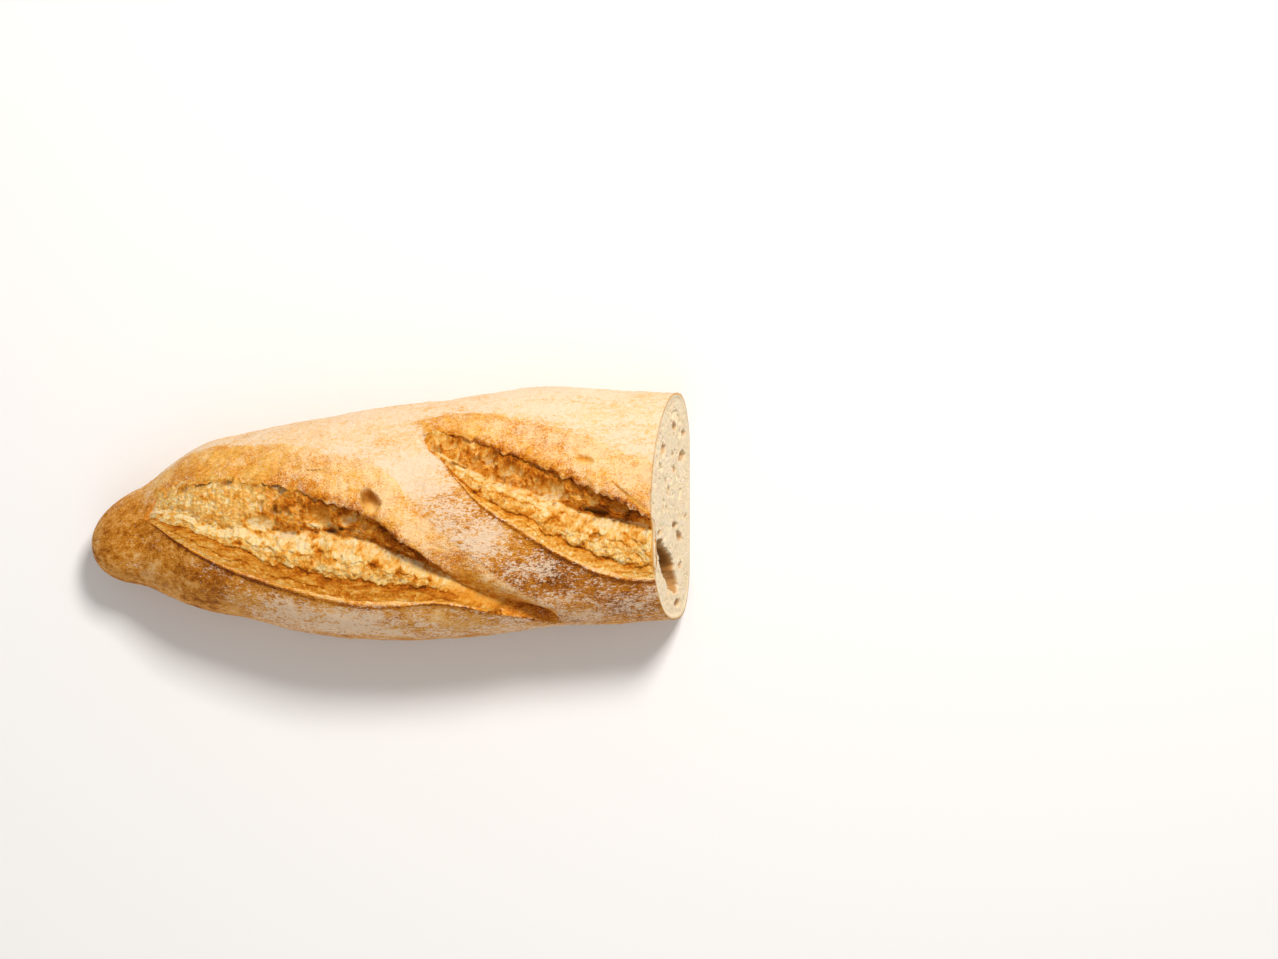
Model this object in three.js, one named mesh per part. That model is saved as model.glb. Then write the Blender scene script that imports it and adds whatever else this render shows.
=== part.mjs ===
// Half of a crusty baguette, lying on its flat base, with two long slashes torn open along its crown.
// Millimetres, +Z up: the closed nose points to -X and the cut face to +X, leaning back over the base.
import * as THREE from "three";
import { ImprovedNoise } from "three/addons/math/ImprovedNoise.js";
import { mergeVertices } from "three/addons/utils/BufferGeometryUtils.js";

// Overall form
const NOSE_X = -112;
const CUT_X = 110.2;
const NOSE_ROUND = 17.6;
const NOSE_CENTRE_DROP = 1.5;
const CUT_LEAN = Math.tan(THREE.MathUtils.degToRad(14.4));
const LEAN_STARTS_X = 20;
const LEAN_PASSES = 3;
const WIDEST_AT = 0.38;
const BASE_PRESSED_FLAT = 1.6;

// Roundness of the section: 2 is an ellipse, more is fuller, less is more pointed
const CROWN_NEAR = 2.3;
const CROWN_FAR = 1.8;
const UNDERSIDE = 3.2;

// How the section grows and shrinks along the loaf, as [x, millimetres]
const spineY = curve(
  [-110, -10.5],
  [-94, -7.7],
  [-70, -4.2],
  [-33, -4.0],
  [0, -2.9],
  [30, -0.4],
  [56, 2.9],
  [80, 3.4],
  [110, 3.6],
);
const halfWidth = curve(
  [-110, 15.4],
  [-94, 17.9],
  [-82, 24.9],
  [-70, 30.4],
  [-54, 34.3],
  [-33, 39.1],
  [-5, 42.8],
  [30, 44.8],
  [58, 44.5],
  [80, 43.4],
  [110, 41.9],
);
const height = curve(
  [-110, 27], [-94, 31], [-82, 38], [-70, 45], [-54, 51],
  [-33, 56], [-5, 59], [30, 60], [110, 57],
);
const underLift = curve([-110, 8], [-98, 4], [-85, 0]);

// The slashes. Each rib gives degrees round the section at [x, degrees]: 0 is the near side, 90 the crown
// and 180 the far side. The lip is the lower edge of a slash, the crack its deepest line and the sill the
// upper edge. The ends are the x where a slash starts, is open, starts to close and ends. The second slash
// is still open where the loaf is cut.
const SLASHES = [
  {
    lip: curve(
      [-88, 102], [-77, 81], [-58, 64], [-36, 55], [-9, 49],
      [23, 48], [48, 33], [60, 20], [80, 10],
    ),
    crack: curve(
      [-86, 116], [-67, 94], [-43, 86], [-21, 85], [-7, 80],
      [13, 70], [29, 55], [52, 34], [60, 26], [80, 16],
    ),
    sill: curve(
      [-88, 152], [-76, 166], [-58, 157], [-31, 137], [-9, 120],
      [11, 94], [24, 79], [42, 57], [60, 36], [80, 24],
    ),
    depth: curve([-86, 3], [-60, 5], [-42, 7.5], [-20, 10], [10, 9], [35, 6], [58, 3.5]),
    ends: [-91, -84, 54, 64],
  },
  {
    lip: curve(
      [-100, 176], [-45, 165], [-14, 142], [8, 124], [22, 108],
      [42, 87], [63, 68], [85, 55], [110, 52],
    ),
    crack: curve(
      [-100, 179], [-45, 169], [-14, 148], [14, 127], [33, 114],
      [51, 100], [74, 86], [97, 77], [110, 72],
    ),
    sill: curve(
      [-100, 184], [-45, 175], [-14, 158], [9, 150], [27, 152],
      [52, 138], [78, 123], [97, 113], [110, 108],
    ),
    depth: curve([14, 3], [30, 6], [55, 8], [78, 11], [88, 8], [97, 2.5], [110, 2]),
    ends: [7, 17, 200, 210],
  },
];

// Relief across a slash, as [place, share of the slash's depth]: place 0 is the lip, 1 the crack and 2 the
// sill. It climbs over the lip's rim, drops to a terrace of torn crumb, falls into the crack and rises over
// the ear.
const LIP_RIM = 0.08;
const EAR = 1.45;
const ACROSS = [
  [-0.12, 0],
  [0, LIP_RIM],
  [0.08, -0.16],
  [0.3, -0.42],
  [0.4, -0.26],
  [0.62, -0.28],
  [0.82, -0.52],
  [1, -1],
  [1.14, -0.8],
  [1.34, -0.12],
  [EAR, 0.24],
  [1.72, 0.15],
  [2, 0],
];

// Torn crumb and the slow unevenness of the crust
const CRAG_HEIGHT = 3.4;
const CRAG_LENGTH = 5.3;
const SWELL_HEIGHT = 0.9;
const SWELL_LENGTH = 34;

// Holes opened by the knife: [y, height above the base, radius across, radius up, depth]
const CUT_HOLES = [
  [-17, 24, 6, 10.5, 8],
  [9, 40, 7, 4, 3.5],
  [-4, 30, 5, 6, 3],
  [23, 28, 6, 4, 3],
  [-28, 37, 4, 5, 2.5],
  [31, 15, 5, 3.5, 2.5],
  [5, 14, 6, 4, 2.5],
  [-31, 12, 4, 3, 2],
];
const CRUST_MARGIN = 4;

// Fineness of the faceted surface
const NOSE_RINGS = 9;
const BODY_RINGS = 88;
const CUT_RINGS = 9;
const SIDE_STEPS = 12;
const BAND_STEPS = 3;

/** A smooth curve through [x, value] pairs, level before the first and after the last. */
function curve(...points) {
  const last = points.length - 1;
  const slopes = points.map((_, i) => {
    const [xa, va] = points[Math.max(i - 1, 0)];
    const [xb, vb] = points[Math.min(i + 1, last)];
    return (vb - va) / (xb - xa);
  });
  return (x) => {
    if (x <= points[0][0]) return points[0][1];
    if (x >= points[last][0]) return points[last][1];
    const i = points.findIndex((point) => point[0] > x);
    const [xa, va] = points[i - 1];
    const [xb, vb] = points[i];
    const span = xb - xa;
    const t = (x - xa) / span;
    const rise = t * t * (3 - 2 * t);
    const leave = t * (1 - t) * (1 - t);
    const arrive = t * t * (t - 1);
    return va + (vb - va) * rise + span * (slopes[i - 1] * leave + slopes[i] * arrive);
  };
}

/** Straight runs between [place, value] pairs, level outside them. */
function broken(points, place) {
  if (place <= points[0][0]) return points[0][1];
  const i = points.findIndex((point) => point[0] >= place);
  if (i < 0) return points[points.length - 1][1];
  const [pa, va] = points[i - 1];
  const [pb, vb] = points[i];
  return THREE.MathUtils.mapLinear(place, pa, pb, va, vb);
}

const noise = new ImprovedNoise();

/** Soft unevenness between about -1 and 1 over a surface point, `length` millimetres from swell to swell. */
function uneven(point, length) {
  return noise.noise(point.x / length, point.y / length, point.z / length);
}

/** How far a slash is open at x: 1 along it, fading to 0 at its ends. */
function opening(slash, x) {
  const [startX, openX, closingX, endX] = slash.ends;
  return THREE.MathUtils.smoothstep(x, startX, openX) * (1 - THREE.MathUtils.smoothstep(x, closingX, endX));
}

/** The place of an angle across a slash: 0 at the lip, 1 at the crack, 2 at the sill. */
function placeAcross(slash, x, angle) {
  const crack = slash.crack(x);
  if (angle < crack) return (angle - slash.lip(x)) / (crack - slash.lip(x));
  return 1 + (angle - crack) / (slash.sill(x) - crack);
}

/** The angle of a place across a slash, the inverse of placeAcross. */
function angleAcross(slash, x, place) {
  const crack = slash.crack(x);
  if (place < 1) return crack - (1 - place) * (crack - slash.lip(x));
  return crack + (place - 1) * (slash.sill(x) - crack);
}

/** Outward relief of the slashes at x and an angle in degrees, with crags in their torn crumb. */
function slashRelief(x, angle, point) {
  let relief = 0;
  for (const slash of SLASHES) {
    const place = placeAcross(slash, x, angle);
    const open = opening(slash, x);
    const torn = place > 0 && place < EAR ? Math.sin((Math.PI * place) / EAR) : 0;
    relief += open * slash.depth(x) * broken(ACROSS, place);
    relief += open * torn * CRAG_HEIGHT * uneven(point, CRAG_LENGTH);
  }
  return relief;
}

/** Half the height that the section has at x, from its widest level up to the crown or down to the base. */
function sectionHeights(x) {
  const level = underLift(x) + WIDEST_AT * (height(x) - underLift(x));
  return { level, up: height(x) - level, down: level - underLift(x) + BASE_PRESSED_FLAT };
}

/** How much of the full section is left at x inside the rounded nose. */
function noseShrink(x) {
  const inside = Math.min((x - NOSE_X) / NOSE_ROUND, 1);
  return Math.sqrt(Math.max(1 - (1 - inside) ** 2, 0));
}

/** The crust at x and an angle in degrees round the section. */
function crustPoint(x, angle) {
  const turn = THREE.MathUtils.degToRad(angle);
  const across = -Math.cos(turn);
  const up = Math.sin(turn);
  const crown = across < 0 ? CROWN_NEAR : CROWN_FAR;
  const fullness = up > 0 ? crown : UNDERSIDE;
  const reach = (Math.abs(across) ** fullness + Math.abs(up) ** fullness) ** (-1 / fullness);
  const heights = sectionHeights(x);
  const shrink = noseShrink(x);
  const radial = new THREE.Vector3(0, across * halfWidth(x), up * (up > 0 ? heights.up : heights.down));
  radial.multiplyScalar(reach * shrink);
  const centreZ = heights.level - NOSE_CENTRE_DROP * (1 - shrink);
  const point = new THREE.Vector3(x, spineY(x), centreZ).add(radial);
  const swell = up > 0 ? SWELL_HEIGHT * uneven(point, SWELL_LENGTH) : 0;
  const relief = (swell + slashRelief(x, angle, point)) * shrink;
  if (radial.length() > 0) point.addScaledVector(radial.normalize(), relief);
  point.z = Math.max(point.z, 0);
  return point;
}

/** The angles of the section lines at x: along the ribs of both slashes, and evenly between them. */
function sectionAngles(x) {
  const [near, far] = SLASHES;
  const underMiddle = -90;
  const between = (from, to, count) => {
    const step = (to - from) / count;
    return Array.from({ length: count }, (_, i) => from + step * i);
  };
  const across = (slash) => ACROSS.map(([place]) => angleAcross(slash, x, place));
  const nearLines = across(near);
  const farLines = across(far);
  return [
    ...between(underMiddle, nearLines[0], SIDE_STEPS),
    ...nearLines.slice(0, -1),
    ...between(nearLines.at(-1), farLines[0], BAND_STEPS),
    ...farLines.slice(0, -1),
    ...between(farLines.at(-1), underMiddle + 360, SIDE_STEPS),
  ];
}

/** One point of the ring whose foot stands at footX. Towards the cut the rings lean back like the cut. */
function ringPoint(footX, line) {
  const lean = CUT_LEAN * THREE.MathUtils.smoothstep(footX, LEAN_STARTS_X, CUT_X);
  let point = crustPoint(footX, sectionAngles(footX)[line]);
  for (let pass = 0; pass < LEAN_PASSES; pass += 1) {
    const x = footX - lean * point.z;
    point = crustPoint(x, sectionAngles(x)[line]);
  }
  return point;
}

/** How deep the knife opened the crumb at a point of the cut face. */
function holeDepth(point, toCrust) {
  const deepest = CUT_HOLES.map(([y, z, across, up, depth]) => {
    const away = Math.hypot((point.y - y) / across, (point.z - z) / up);
    return depth * Math.max(1 - away * away, 0);
  });
  return Math.max(...deepest) * THREE.MathUtils.smoothstep(toCrust, 0, CRUST_MARGIN);
}

/** A ring of the cut face, a share of the way from its outline to its middle, with the opened holes. */
function cutRing(outline, middle, share) {
  const inward = new THREE.Vector3(-1, 0, -CUT_LEAN).normalize();
  return outline.map((edge) => {
    const point = edge.clone().lerp(middle, share);
    return point.addScaledVector(inward, holeDepth(point, edge.distanceTo(point)));
  });
}

/** The feet of the rings along the loaf: closer together round the nose. */
function ringFeet() {
  const quarter = Math.PI / 2;
  const nose = Array.from(
    { length: NOSE_RINGS },
    (_, i) => NOSE_X + NOSE_ROUND * (1 - Math.cos((quarter * (i + 1)) / (NOSE_RINGS + 1))),
  );
  const bodyX = NOSE_X + NOSE_ROUND;
  const body = Array.from({ length: BODY_RINGS + 1 }, (_, i) => bodyX + ((CUT_X - bodyX) * i) / BODY_RINGS);
  return [...nose, ...body];
}

/** Triangles between two rings with the same number of points. */
function skirt(triangles, ringA, ringB) {
  ringA.forEach((_, i) => {
    const next = (i + 1) % ringA.length;
    triangles.push(ringA[i], ringB[next], ringA[next], ringA[i], ringB[i], ringB[next]);
  });
}

/** Triangles between a ring and the one point that closes it. */
function fan(triangles, ring, tip, atNose) {
  ring.forEach((_, i) => {
    const next = (i + 1) % ring.length;
    triangles.push(...(atNose ? [ring[i], ring[next], tip] : [ring[next], ring[i], tip]));
  });
}

/** The whole loaf as one closed surface: nose, crust and cut face. */
function loafGeometry() {
  const feet = ringFeet();
  const lineCount = sectionAngles(feet[0]).length;
  const rings = feet.map((footX) => Array.from({ length: lineCount }, (_, line) => ringPoint(footX, line)));
  const outline = rings.at(-1);
  const middle = outline.reduce((sum, point) => sum.add(point), new THREE.Vector3()).divideScalar(lineCount);
  for (let i = 1; i < CUT_RINGS; i += 1) rings.push(cutRing(outline, middle, i / CUT_RINGS));
  const triangles = [];
  fan(triangles, rings[0], crustPoint(NOSE_X, 0), true);
  for (let i = 1; i < rings.length; i += 1) skirt(triangles, rings[i - 1], rings[i]);
  fan(triangles, rings.at(-1), middle, false);
  const geometry = mergeVertices(new THREE.BufferGeometry().setFromPoints(triangles));
  geometry.computeBoundingBox();
  const box = geometry.boundingBox;
  geometry.translate(-(box.min.x + box.max.x) / 2, -(box.min.y + box.max.y) / 2, -box.min.z);
  geometry.computeVertexNormals();
  return geometry;
}

const bakedCrust = new THREE.MeshStandardMaterial({ color: 0xd9a566, roughness: 0.85, metalness: 0 });
const loaf = new THREE.Mesh(loafGeometry(), bakedCrust);
loaf.name = "loaf";

const baguette = new THREE.Group();
baguette.add(loaf);

export default baguette;
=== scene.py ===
"""Half of a crusty baguette with two slashes torn open along its crown, lying with its cut end to the right.

The loaf is worked out in millimetres in the shape classes, and every mesh is written in metres.
"""

import logging
import math
from dataclasses import dataclass
from enum import Enum
from typing import Callable, ClassVar, Sequence

import bmesh
import bpy
import numpy as np
from mathutils import Matrix, Vector


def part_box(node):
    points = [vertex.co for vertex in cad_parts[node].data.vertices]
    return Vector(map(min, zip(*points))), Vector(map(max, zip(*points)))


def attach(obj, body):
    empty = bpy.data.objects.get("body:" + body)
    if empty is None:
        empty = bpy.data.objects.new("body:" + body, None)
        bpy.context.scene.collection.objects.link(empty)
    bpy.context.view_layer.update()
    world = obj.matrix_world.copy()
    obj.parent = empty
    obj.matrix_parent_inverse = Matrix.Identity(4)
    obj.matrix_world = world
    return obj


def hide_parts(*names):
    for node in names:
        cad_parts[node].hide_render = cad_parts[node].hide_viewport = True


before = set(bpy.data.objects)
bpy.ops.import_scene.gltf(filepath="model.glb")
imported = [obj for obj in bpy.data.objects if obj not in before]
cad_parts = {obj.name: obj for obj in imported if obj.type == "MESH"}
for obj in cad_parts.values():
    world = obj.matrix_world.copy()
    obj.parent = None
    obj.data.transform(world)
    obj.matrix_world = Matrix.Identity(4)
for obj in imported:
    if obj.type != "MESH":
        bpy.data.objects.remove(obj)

log = logging.getLogger("baguette")

MM = 0.001
# How far a degree round the section reaches along the skin, on average.
MM_PER_DEGREE = 0.78
NODE = "loaf"

# Seeds of the unevenness of the form, the skin, the skin's baking and the cut.
FORM_SEED, SKIN_SEED, BAKE_SEED, CUT_SEED = 11, 23, 37, 53

Array = np.ndarray
Colour = tuple[float, float, float]
Paint = tuple[float, float, float, float]
Fit = Callable[[Array], Array]
Stops = Sequence[tuple[float, Paint]]


def srgb(red: int, green: int, blue: int) -> Paint:
    """Turn a colour as a screen shows it into the linear colour that a shader takes.

    Args:
        red: 0 to 255.
        green: 0 to 255.
        blue: 0 to 255.

    Returns:
        Linear red, green, blue and alpha.
    """

    def linear(value: int) -> float:
        """Linear share of one channel."""
        share = value / 255
        return share / 12.92 if share <= 0.04045 else ((share + 0.055) / 1.055) ** 2.4

    return linear(red), linear(green), linear(blue), 1.0


def each(kind: type, *rows: tuple[float, ...]) -> tuple:
    """One thing of a kind for each row of its values."""
    return tuple(kind(*row) for row in rows)


def smoothstep(value: Array, low: float, high: float) -> Array:
    """Ease from 0 at low to 1 at high."""
    share = np.clip((value - low) / (high - low), 0.0, 1.0)
    return share * share * (3.0 - 2.0 * share)


def bell(away: Array, width: float) -> Array:
    """A soft bump: 1 where away is 0, and near 0 past the width."""
    return np.exp(-((away / width) ** 2))


def turned(first: Array, second: Array, degrees: float) -> tuple[Array, Array]:
    """Two coordinates about a middle, as seen from axes turned by an angle.

    Args:
        first: Places along the first axis.
        second: Places along the second axis.
        degrees: How far the axes are turned.

    Returns:
        The places along the two turned axes.
    """
    turn = math.radians(degrees)
    return first * math.cos(turn) + second * math.sin(turn), second * math.cos(turn) - first * math.sin(turn)


class Curve:
    """A smooth curve through (place, value) pairs, level before the first and after the last."""

    def __init__(self, *pairs: tuple[float, float]) -> None:
        """Keep the pairs and the slope at each of them.

        Args:
            pairs: Places in rising order, each with its value.
        """
        self.places, self.values = np.array(pairs, dtype=float).T
        before = np.maximum(np.arange(len(pairs)) - 1, 0)
        after = np.minimum(np.arange(len(pairs)) + 1, len(pairs) - 1)
        self.slopes = (self.values[after] - self.values[before]) / (self.places[after] - self.places[before])

    def __call__(self, place: Array) -> Array:
        """Read the curve.

        Args:
            place: Where.

        Returns:
            The curve's value at each place.
        """
        place = np.clip(place, self.places[0], self.places[-1])
        i = np.clip(np.searchsorted(self.places, place, side="right") - 1, 0, len(self.places) - 2)
        span = self.places[i + 1] - self.places[i]
        t = (place - self.places[i]) / span
        rise = t * t * (3 - 2 * t)
        leave = t * (1 - t) ** 2
        arrive = t * t * (t - 1)
        step = self.values[i + 1] - self.values[i]
        return self.values[i] + step * rise + span * (self.slopes[i] * leave + self.slopes[i + 1] * arrive)


class Noise:
    """Seeded unevenness over points in millimetres."""

    LATTICE: ClassVar[int] = 256
    GAIN: ClassVar[float] = 1.6
    LAYER_SHIFT: ClassVar[float] = 17.3
    FAR_OFF: ClassVar[float] = 9.0
    WALL: ClassVar[float] = 0.55

    def __init__(self, seed: int) -> None:
        """Draw the lattice's order, its gradients and its cell centres.

        Args:
            seed: Gives the same unevenness each time.
        """
        draw = np.random.default_rng(seed)
        self.order = np.tile(draw.permutation(self.LATTICE), 2)
        gradients = draw.normal(size=(self.LATTICE, 3))
        self.gradients = gradients / np.linalg.norm(gradients, axis=1, keepdims=True)
        self.centres = draw.random((self.LATTICE, 3))
        self.ranks = draw.random(self.LATTICE)

    def _key(self, cell: Array) -> Array:
        """The lattice entry of whole-number cells."""
        x, y, z = (cell % self.LATTICE).T
        return self.order[self.order[self.order[x] + y] + z]

    def smooth(self, points: Array, length: float) -> Array:
        """Soft swells between about -1 and 1.

        Args:
            points: Points in millimetres, one to a row.
            length: Millimetres from swell to swell.

        Returns:
            One value for each point.
        """
        scaled = points / length
        cell = np.floor(scaled).astype(int)
        inside = scaled - cell
        ease = inside**3 * (inside * (inside * 6 - 15) + 10)
        total = np.zeros(len(points))
        for corner in np.ndindex(2, 2, 2):
            offset = np.array(corner)
            gradient = self.gradients[self._key(cell + offset)]
            weight = np.prod(np.where(offset, ease, 1 - ease), axis=1)
            total += weight * np.einsum("ij,ij->i", gradient, inside - offset)
        return total * self.GAIN

    def ridges(self, points: Array, length: float) -> Array:
        """Thin wandering ridges: 1 on them and near 0 elsewhere."""
        return np.clip(1 - 2.2 * np.abs(self.smooth(points, length)), 0, 1) ** 3

    def foam(self, points: Array, length: float) -> tuple[Array, Array]:
        """Bowls that share thin walls, as burst bubbles do.

        Args:
            points: Points in millimetres, one to a row.
            length: Millimetres from bowl to bowl.

        Returns:
            0 on the walls and up to 1 in the middle of a bowl, and each bowl's own number between 0 and 1.
        """
        nearest, second, rank = self.cells(points, length)
        bowl = np.clip((second - nearest) / self.WALL, 0, 1)
        return 1 - (1 - bowl) ** 2, rank

    def mounds(self, points: Array, length: float) -> Array:
        """Round nodules with creases between them: 1 on top and down to 0 in the creases."""
        nearest, _, rank = self.cells(points, length)
        return (1 - np.clip(nearest, 0, 1) ** 2) * (0.6 + 0.4 * rank)

    def layered(self, points: Array, length: float, layers: int, fade: float = 0.55) -> Array:
        """Swells with finer and finer ones on them.

        Args:
            points: Points in millimetres, one to a row.
            length: Millimetres from swell to swell in the first layer, and half as many in each next one.
            layers: How many layers there are.
            fade: How strong each layer is, as a share of the one before.

        Returns:
            One value for each point.
        """
        total = np.zeros(len(points))
        strength = 1.0
        for layer in range(layers):
            total += strength * self.smooth(points + self.LAYER_SHIFT * layer, length / 2**layer)
            strength *= fade
        return total

    def cells(self, points: Array, length: float) -> tuple[Array, Array, Array]:
        """Scattered cell centres about a length apart.

        Args:
            points: Points in millimetres, one to a row.
            length: Millimetres from centre to centre.

        Returns:
            Distance to the nearest centre, distance to the second nearest, both as a share of the length,
            and the nearest centre's own number between 0 and 1.
        """
        scaled = points / length
        cell = np.floor(scaled).astype(int)
        nearest = np.full(len(points), self.FAR_OFF)
        second = np.full(len(points), self.FAR_OFF)
        rank = np.zeros(len(points))
        for shift in np.ndindex(3, 3, 3):
            neighbour = cell + np.array(shift) - 1
            key = self._key(neighbour)
            away = np.linalg.norm(neighbour + self.centres[key] - scaled, axis=1)
            closer = away < nearest
            second = np.where(closer, nearest, np.minimum(second, away))
            rank = np.where(closer, self.ranks[key], rank)
            nearest = np.where(closer, away, nearest)
        return nearest, second, rank

    def bubbles(self, points: Array, length: float, share: float, radius: float) -> Array:
        """Round hollows of mixed sizes.

        Args:
            points: Points in millimetres, one to a row.
            length: Millimetres from hollow to hollow.
            share: Share of the cells that hold a hollow.
            radius: Largest radius as a share of the length.

        Returns:
            0 outside the hollows, up to 1 in the middle of the largest.
        """
        away, _, rank = self.cells(points, length)
        size = radius * np.clip(1.0 - rank / share, 0.0, 1.0) ** 0.5
        with np.errstate(divide="ignore", invalid="ignore"):
            inside = np.where(size > 0.02, np.clip(1 - (away / np.maximum(size, 1e-6)) ** 2, 0, None), 0)
        return np.sqrt(inside) * size / radius


class Trace(Enum):
    """The vertex attributes that tell the shaders what the oven did where, and where glints and shade are
    painted.
    """

    FLOUR_AND_GLINT = "flour"
    TOAST = "toast"
    # Painted shade in caves, pits and holes, more in the deep ones; on the cut it also gives the holes' own tan
    # walls.
    HOLLOW = "hollow"
    BARE = "bare"
    SMOOTH = "smooth"


@dataclass(frozen=True)
class Slash:
    """One slash. Its ribs give degrees round the section: 0 is the near side, 90 the crown, 180 the far side.

    The lip is the lower edge, the crack the deepest line, the ear the raised edge that tore off the lip, and
    the sill the line where the bare skin ends. Their places across the slash are 0, 1, 2 and 3. The depth is in
    millimetres, the ear rises by a share of it, and the ledge lies at a share of the way from lip to crack. The
    ends are where the slash starts to open, is open, starts to close and is closed, and its start slants by the
    skew, in millimetres for each degree below the sill. Between two places along it the bare skin gets paler
    with painted glints and flour dust, the wall below the ear gets painted shade, the ear turns into the smooth
    side of a trough, and the torn crumb ends in the trough's smooth bed.
    """

    lip: Curve
    crack: Curve
    ear: Curve
    sill: Curve
    depth: Curve
    ear_rise: Curve
    ledge: Curve
    ends: tuple[float, float, float, float]
    # Where the bare skin gets paler, with more painted glints and flour dust.
    paler: tuple[float, float]
    # Where painted shade darkens the wall below the ear.
    wall_shade: tuple[float, float]
    trough: tuple[float, float]
    bed: tuple[float, float]
    skew: float = 0.0

    def opening(self, x: Array, angle: Array | None = None) -> Array:
        """How far the slash is open.

        Args:
            x: Places along the loaf.
            angle: Degrees round the section, where the slash's slanting start matters.

        Returns:
            1 along the slash, fading to 0 at its ends.
        """
        start, opened, closing, end = self.ends
        from_start = x if angle is None else x + self.skew * np.minimum(angle - self.sill(x), 0)
        return smoothstep(from_start, start, opened) * (1.0 - smoothstep(x, closing, end))

    def angle(self, x: Array, place: Array) -> Array:
        """Turn places across the slash into angles.

        Args:
            x: Places along the loaf.
            place: Places across the slash.

        Returns:
            Degrees round the section.
        """
        lip, crack, ear, sill = self.lip(x), self.crack(x), self.ear(x), self.sill(x)
        low = crack - (1 - place) * (crack - lip)
        middle = crack + (place - 1) * (ear - crack)
        return np.where(place < 1, low, np.where(place < 2, middle, ear + (place - 2) * (sill - ear)))

    def place(self, x: Array, angle: Array) -> Array:
        """Turn angles into places across the slash, the inverse of angle.

        Args:
            x: Places along the loaf.
            angle: Degrees round the section.

        Returns:
            Places across the slash.
        """
        lip, crack, ear, sill = self.lip(x), self.crack(x), self.ear(x), self.sill(x)
        low = (angle - lip) / (crack - lip)
        middle = 1 + (angle - crack) / (ear - crack)
        high = 2 + (angle - ear) / (sill - ear)
        return np.where(angle < crack, low, np.where(angle < ear, middle, high))


NEAR_SLASH = Slash(
    lip=Curve(
        (-88, 102), (-77, 81), (-58, 64), (-36, 56.5), (-9, 50.5), (23, 48.5), (48, 33), (60, 20), (80, 10),
    ),
    crack=Curve(
        (-86, 116), (-67, 94), (-43, 86), (-21, 85), (-7, 80),
        (5, 72), (13, 67), (20, 62), (29, 52), (52, 32), (60, 25), (80, 15),
    ),
    ear=Curve(
        (-90, 128), (-75, 125), (-58, 121), (-40, 115), (-30, 108), (-16, 101),
        (-1.5, 90), (9, 78.5), (20, 67), (35, 51), (52, 36.5), (60, 28.5), (80, 17),
    ),
    sill=Curve(
        (-88, 152), (-76, 166), (-58, 157), (-31, 141), (-20, 132.5), (-9, 126), (-2, 120.5),
        (4, 111), (9, 101), (15, 91.5), (24, 80), (42, 59), (60, 38), (80, 24),
    ),
    depth=Curve((-86, 3), (-60, 5), (-42, 7.5), (-20, 10), (10, 9), (28, 6.6), (45, 5.6), (60, 6.2)),
    ear_rise=Curve((-86, 0.05), (-37, 0.1), (-27, 0.7), (-10, 1.0), (3, 1.0), (16, 0.6), (30, 0.1), (40, 0)),
    ledge=Curve((-88, 0.3), (-80, 0.4), (-70, 0.6), (-60, 0.6), (-50, 0.53), (-30, 0.38), (10, 0.4), (30, 0.5)),
    ends=(-91, -84, 58, 65),
    paler=(-60, 10),
    wall_shade=(-12, 8),
    trough=(13, 31),
    bed=(36, 46),
)
FAR_SLASH = Slash(
    lip=Curve(
        (-100, 176), (-45, 165), (-14, 150), (8, 136), (16, 126), (24, 112), (33, 97.5), (44, 85.5),
        (63, 68), (85, 55), (110, 52),
    ),
    crack=Curve(
        (-100, 179), (-45, 169), (-14, 152.5), (8, 139), (16, 131), (24, 122.5), (33, 114), (51, 100),
        (74, 86), (97, 77), (110, 72),
    ),
    ear=Curve(
        (-100, 182), (-45, 172), (-14, 155), (7, 143), (17, 139), (25, 135.5), (33, 129),
        (45, 118), (59, 108.5), (74, 98.5), (84, 93.5), (94, 86), (104, 80), (110, 78),
    ),
    sill=Curve(
        (-100, 186), (-45, 177), (-14, 160), (9, 151), (27, 152), (52, 138), (78, 123), (97, 113), (110, 108),
    ),
    depth=Curve((14, 3), (30, 6), (55, 8), (78, 11), (88, 8), (97, 2.5), (110, 2)),
    ear_rise=Curve((14, 0.3), (30, 0.7), (50, 1.0), (88, 1.0), (98, 0.4)),
    ledge=Curve((10, 0.12), (24, 0.14), (36, 0.25), (50, 0.3), (60, 0.27), (80, 0.27), (100, 0.22)),
    ends=(6, 15, 200, 210),
    paler=(-5, 85),
    wall_shade=(60, 100),
    trough=(200, 210),
    bed=(200, 210),
    skew=0.3,
)


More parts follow.
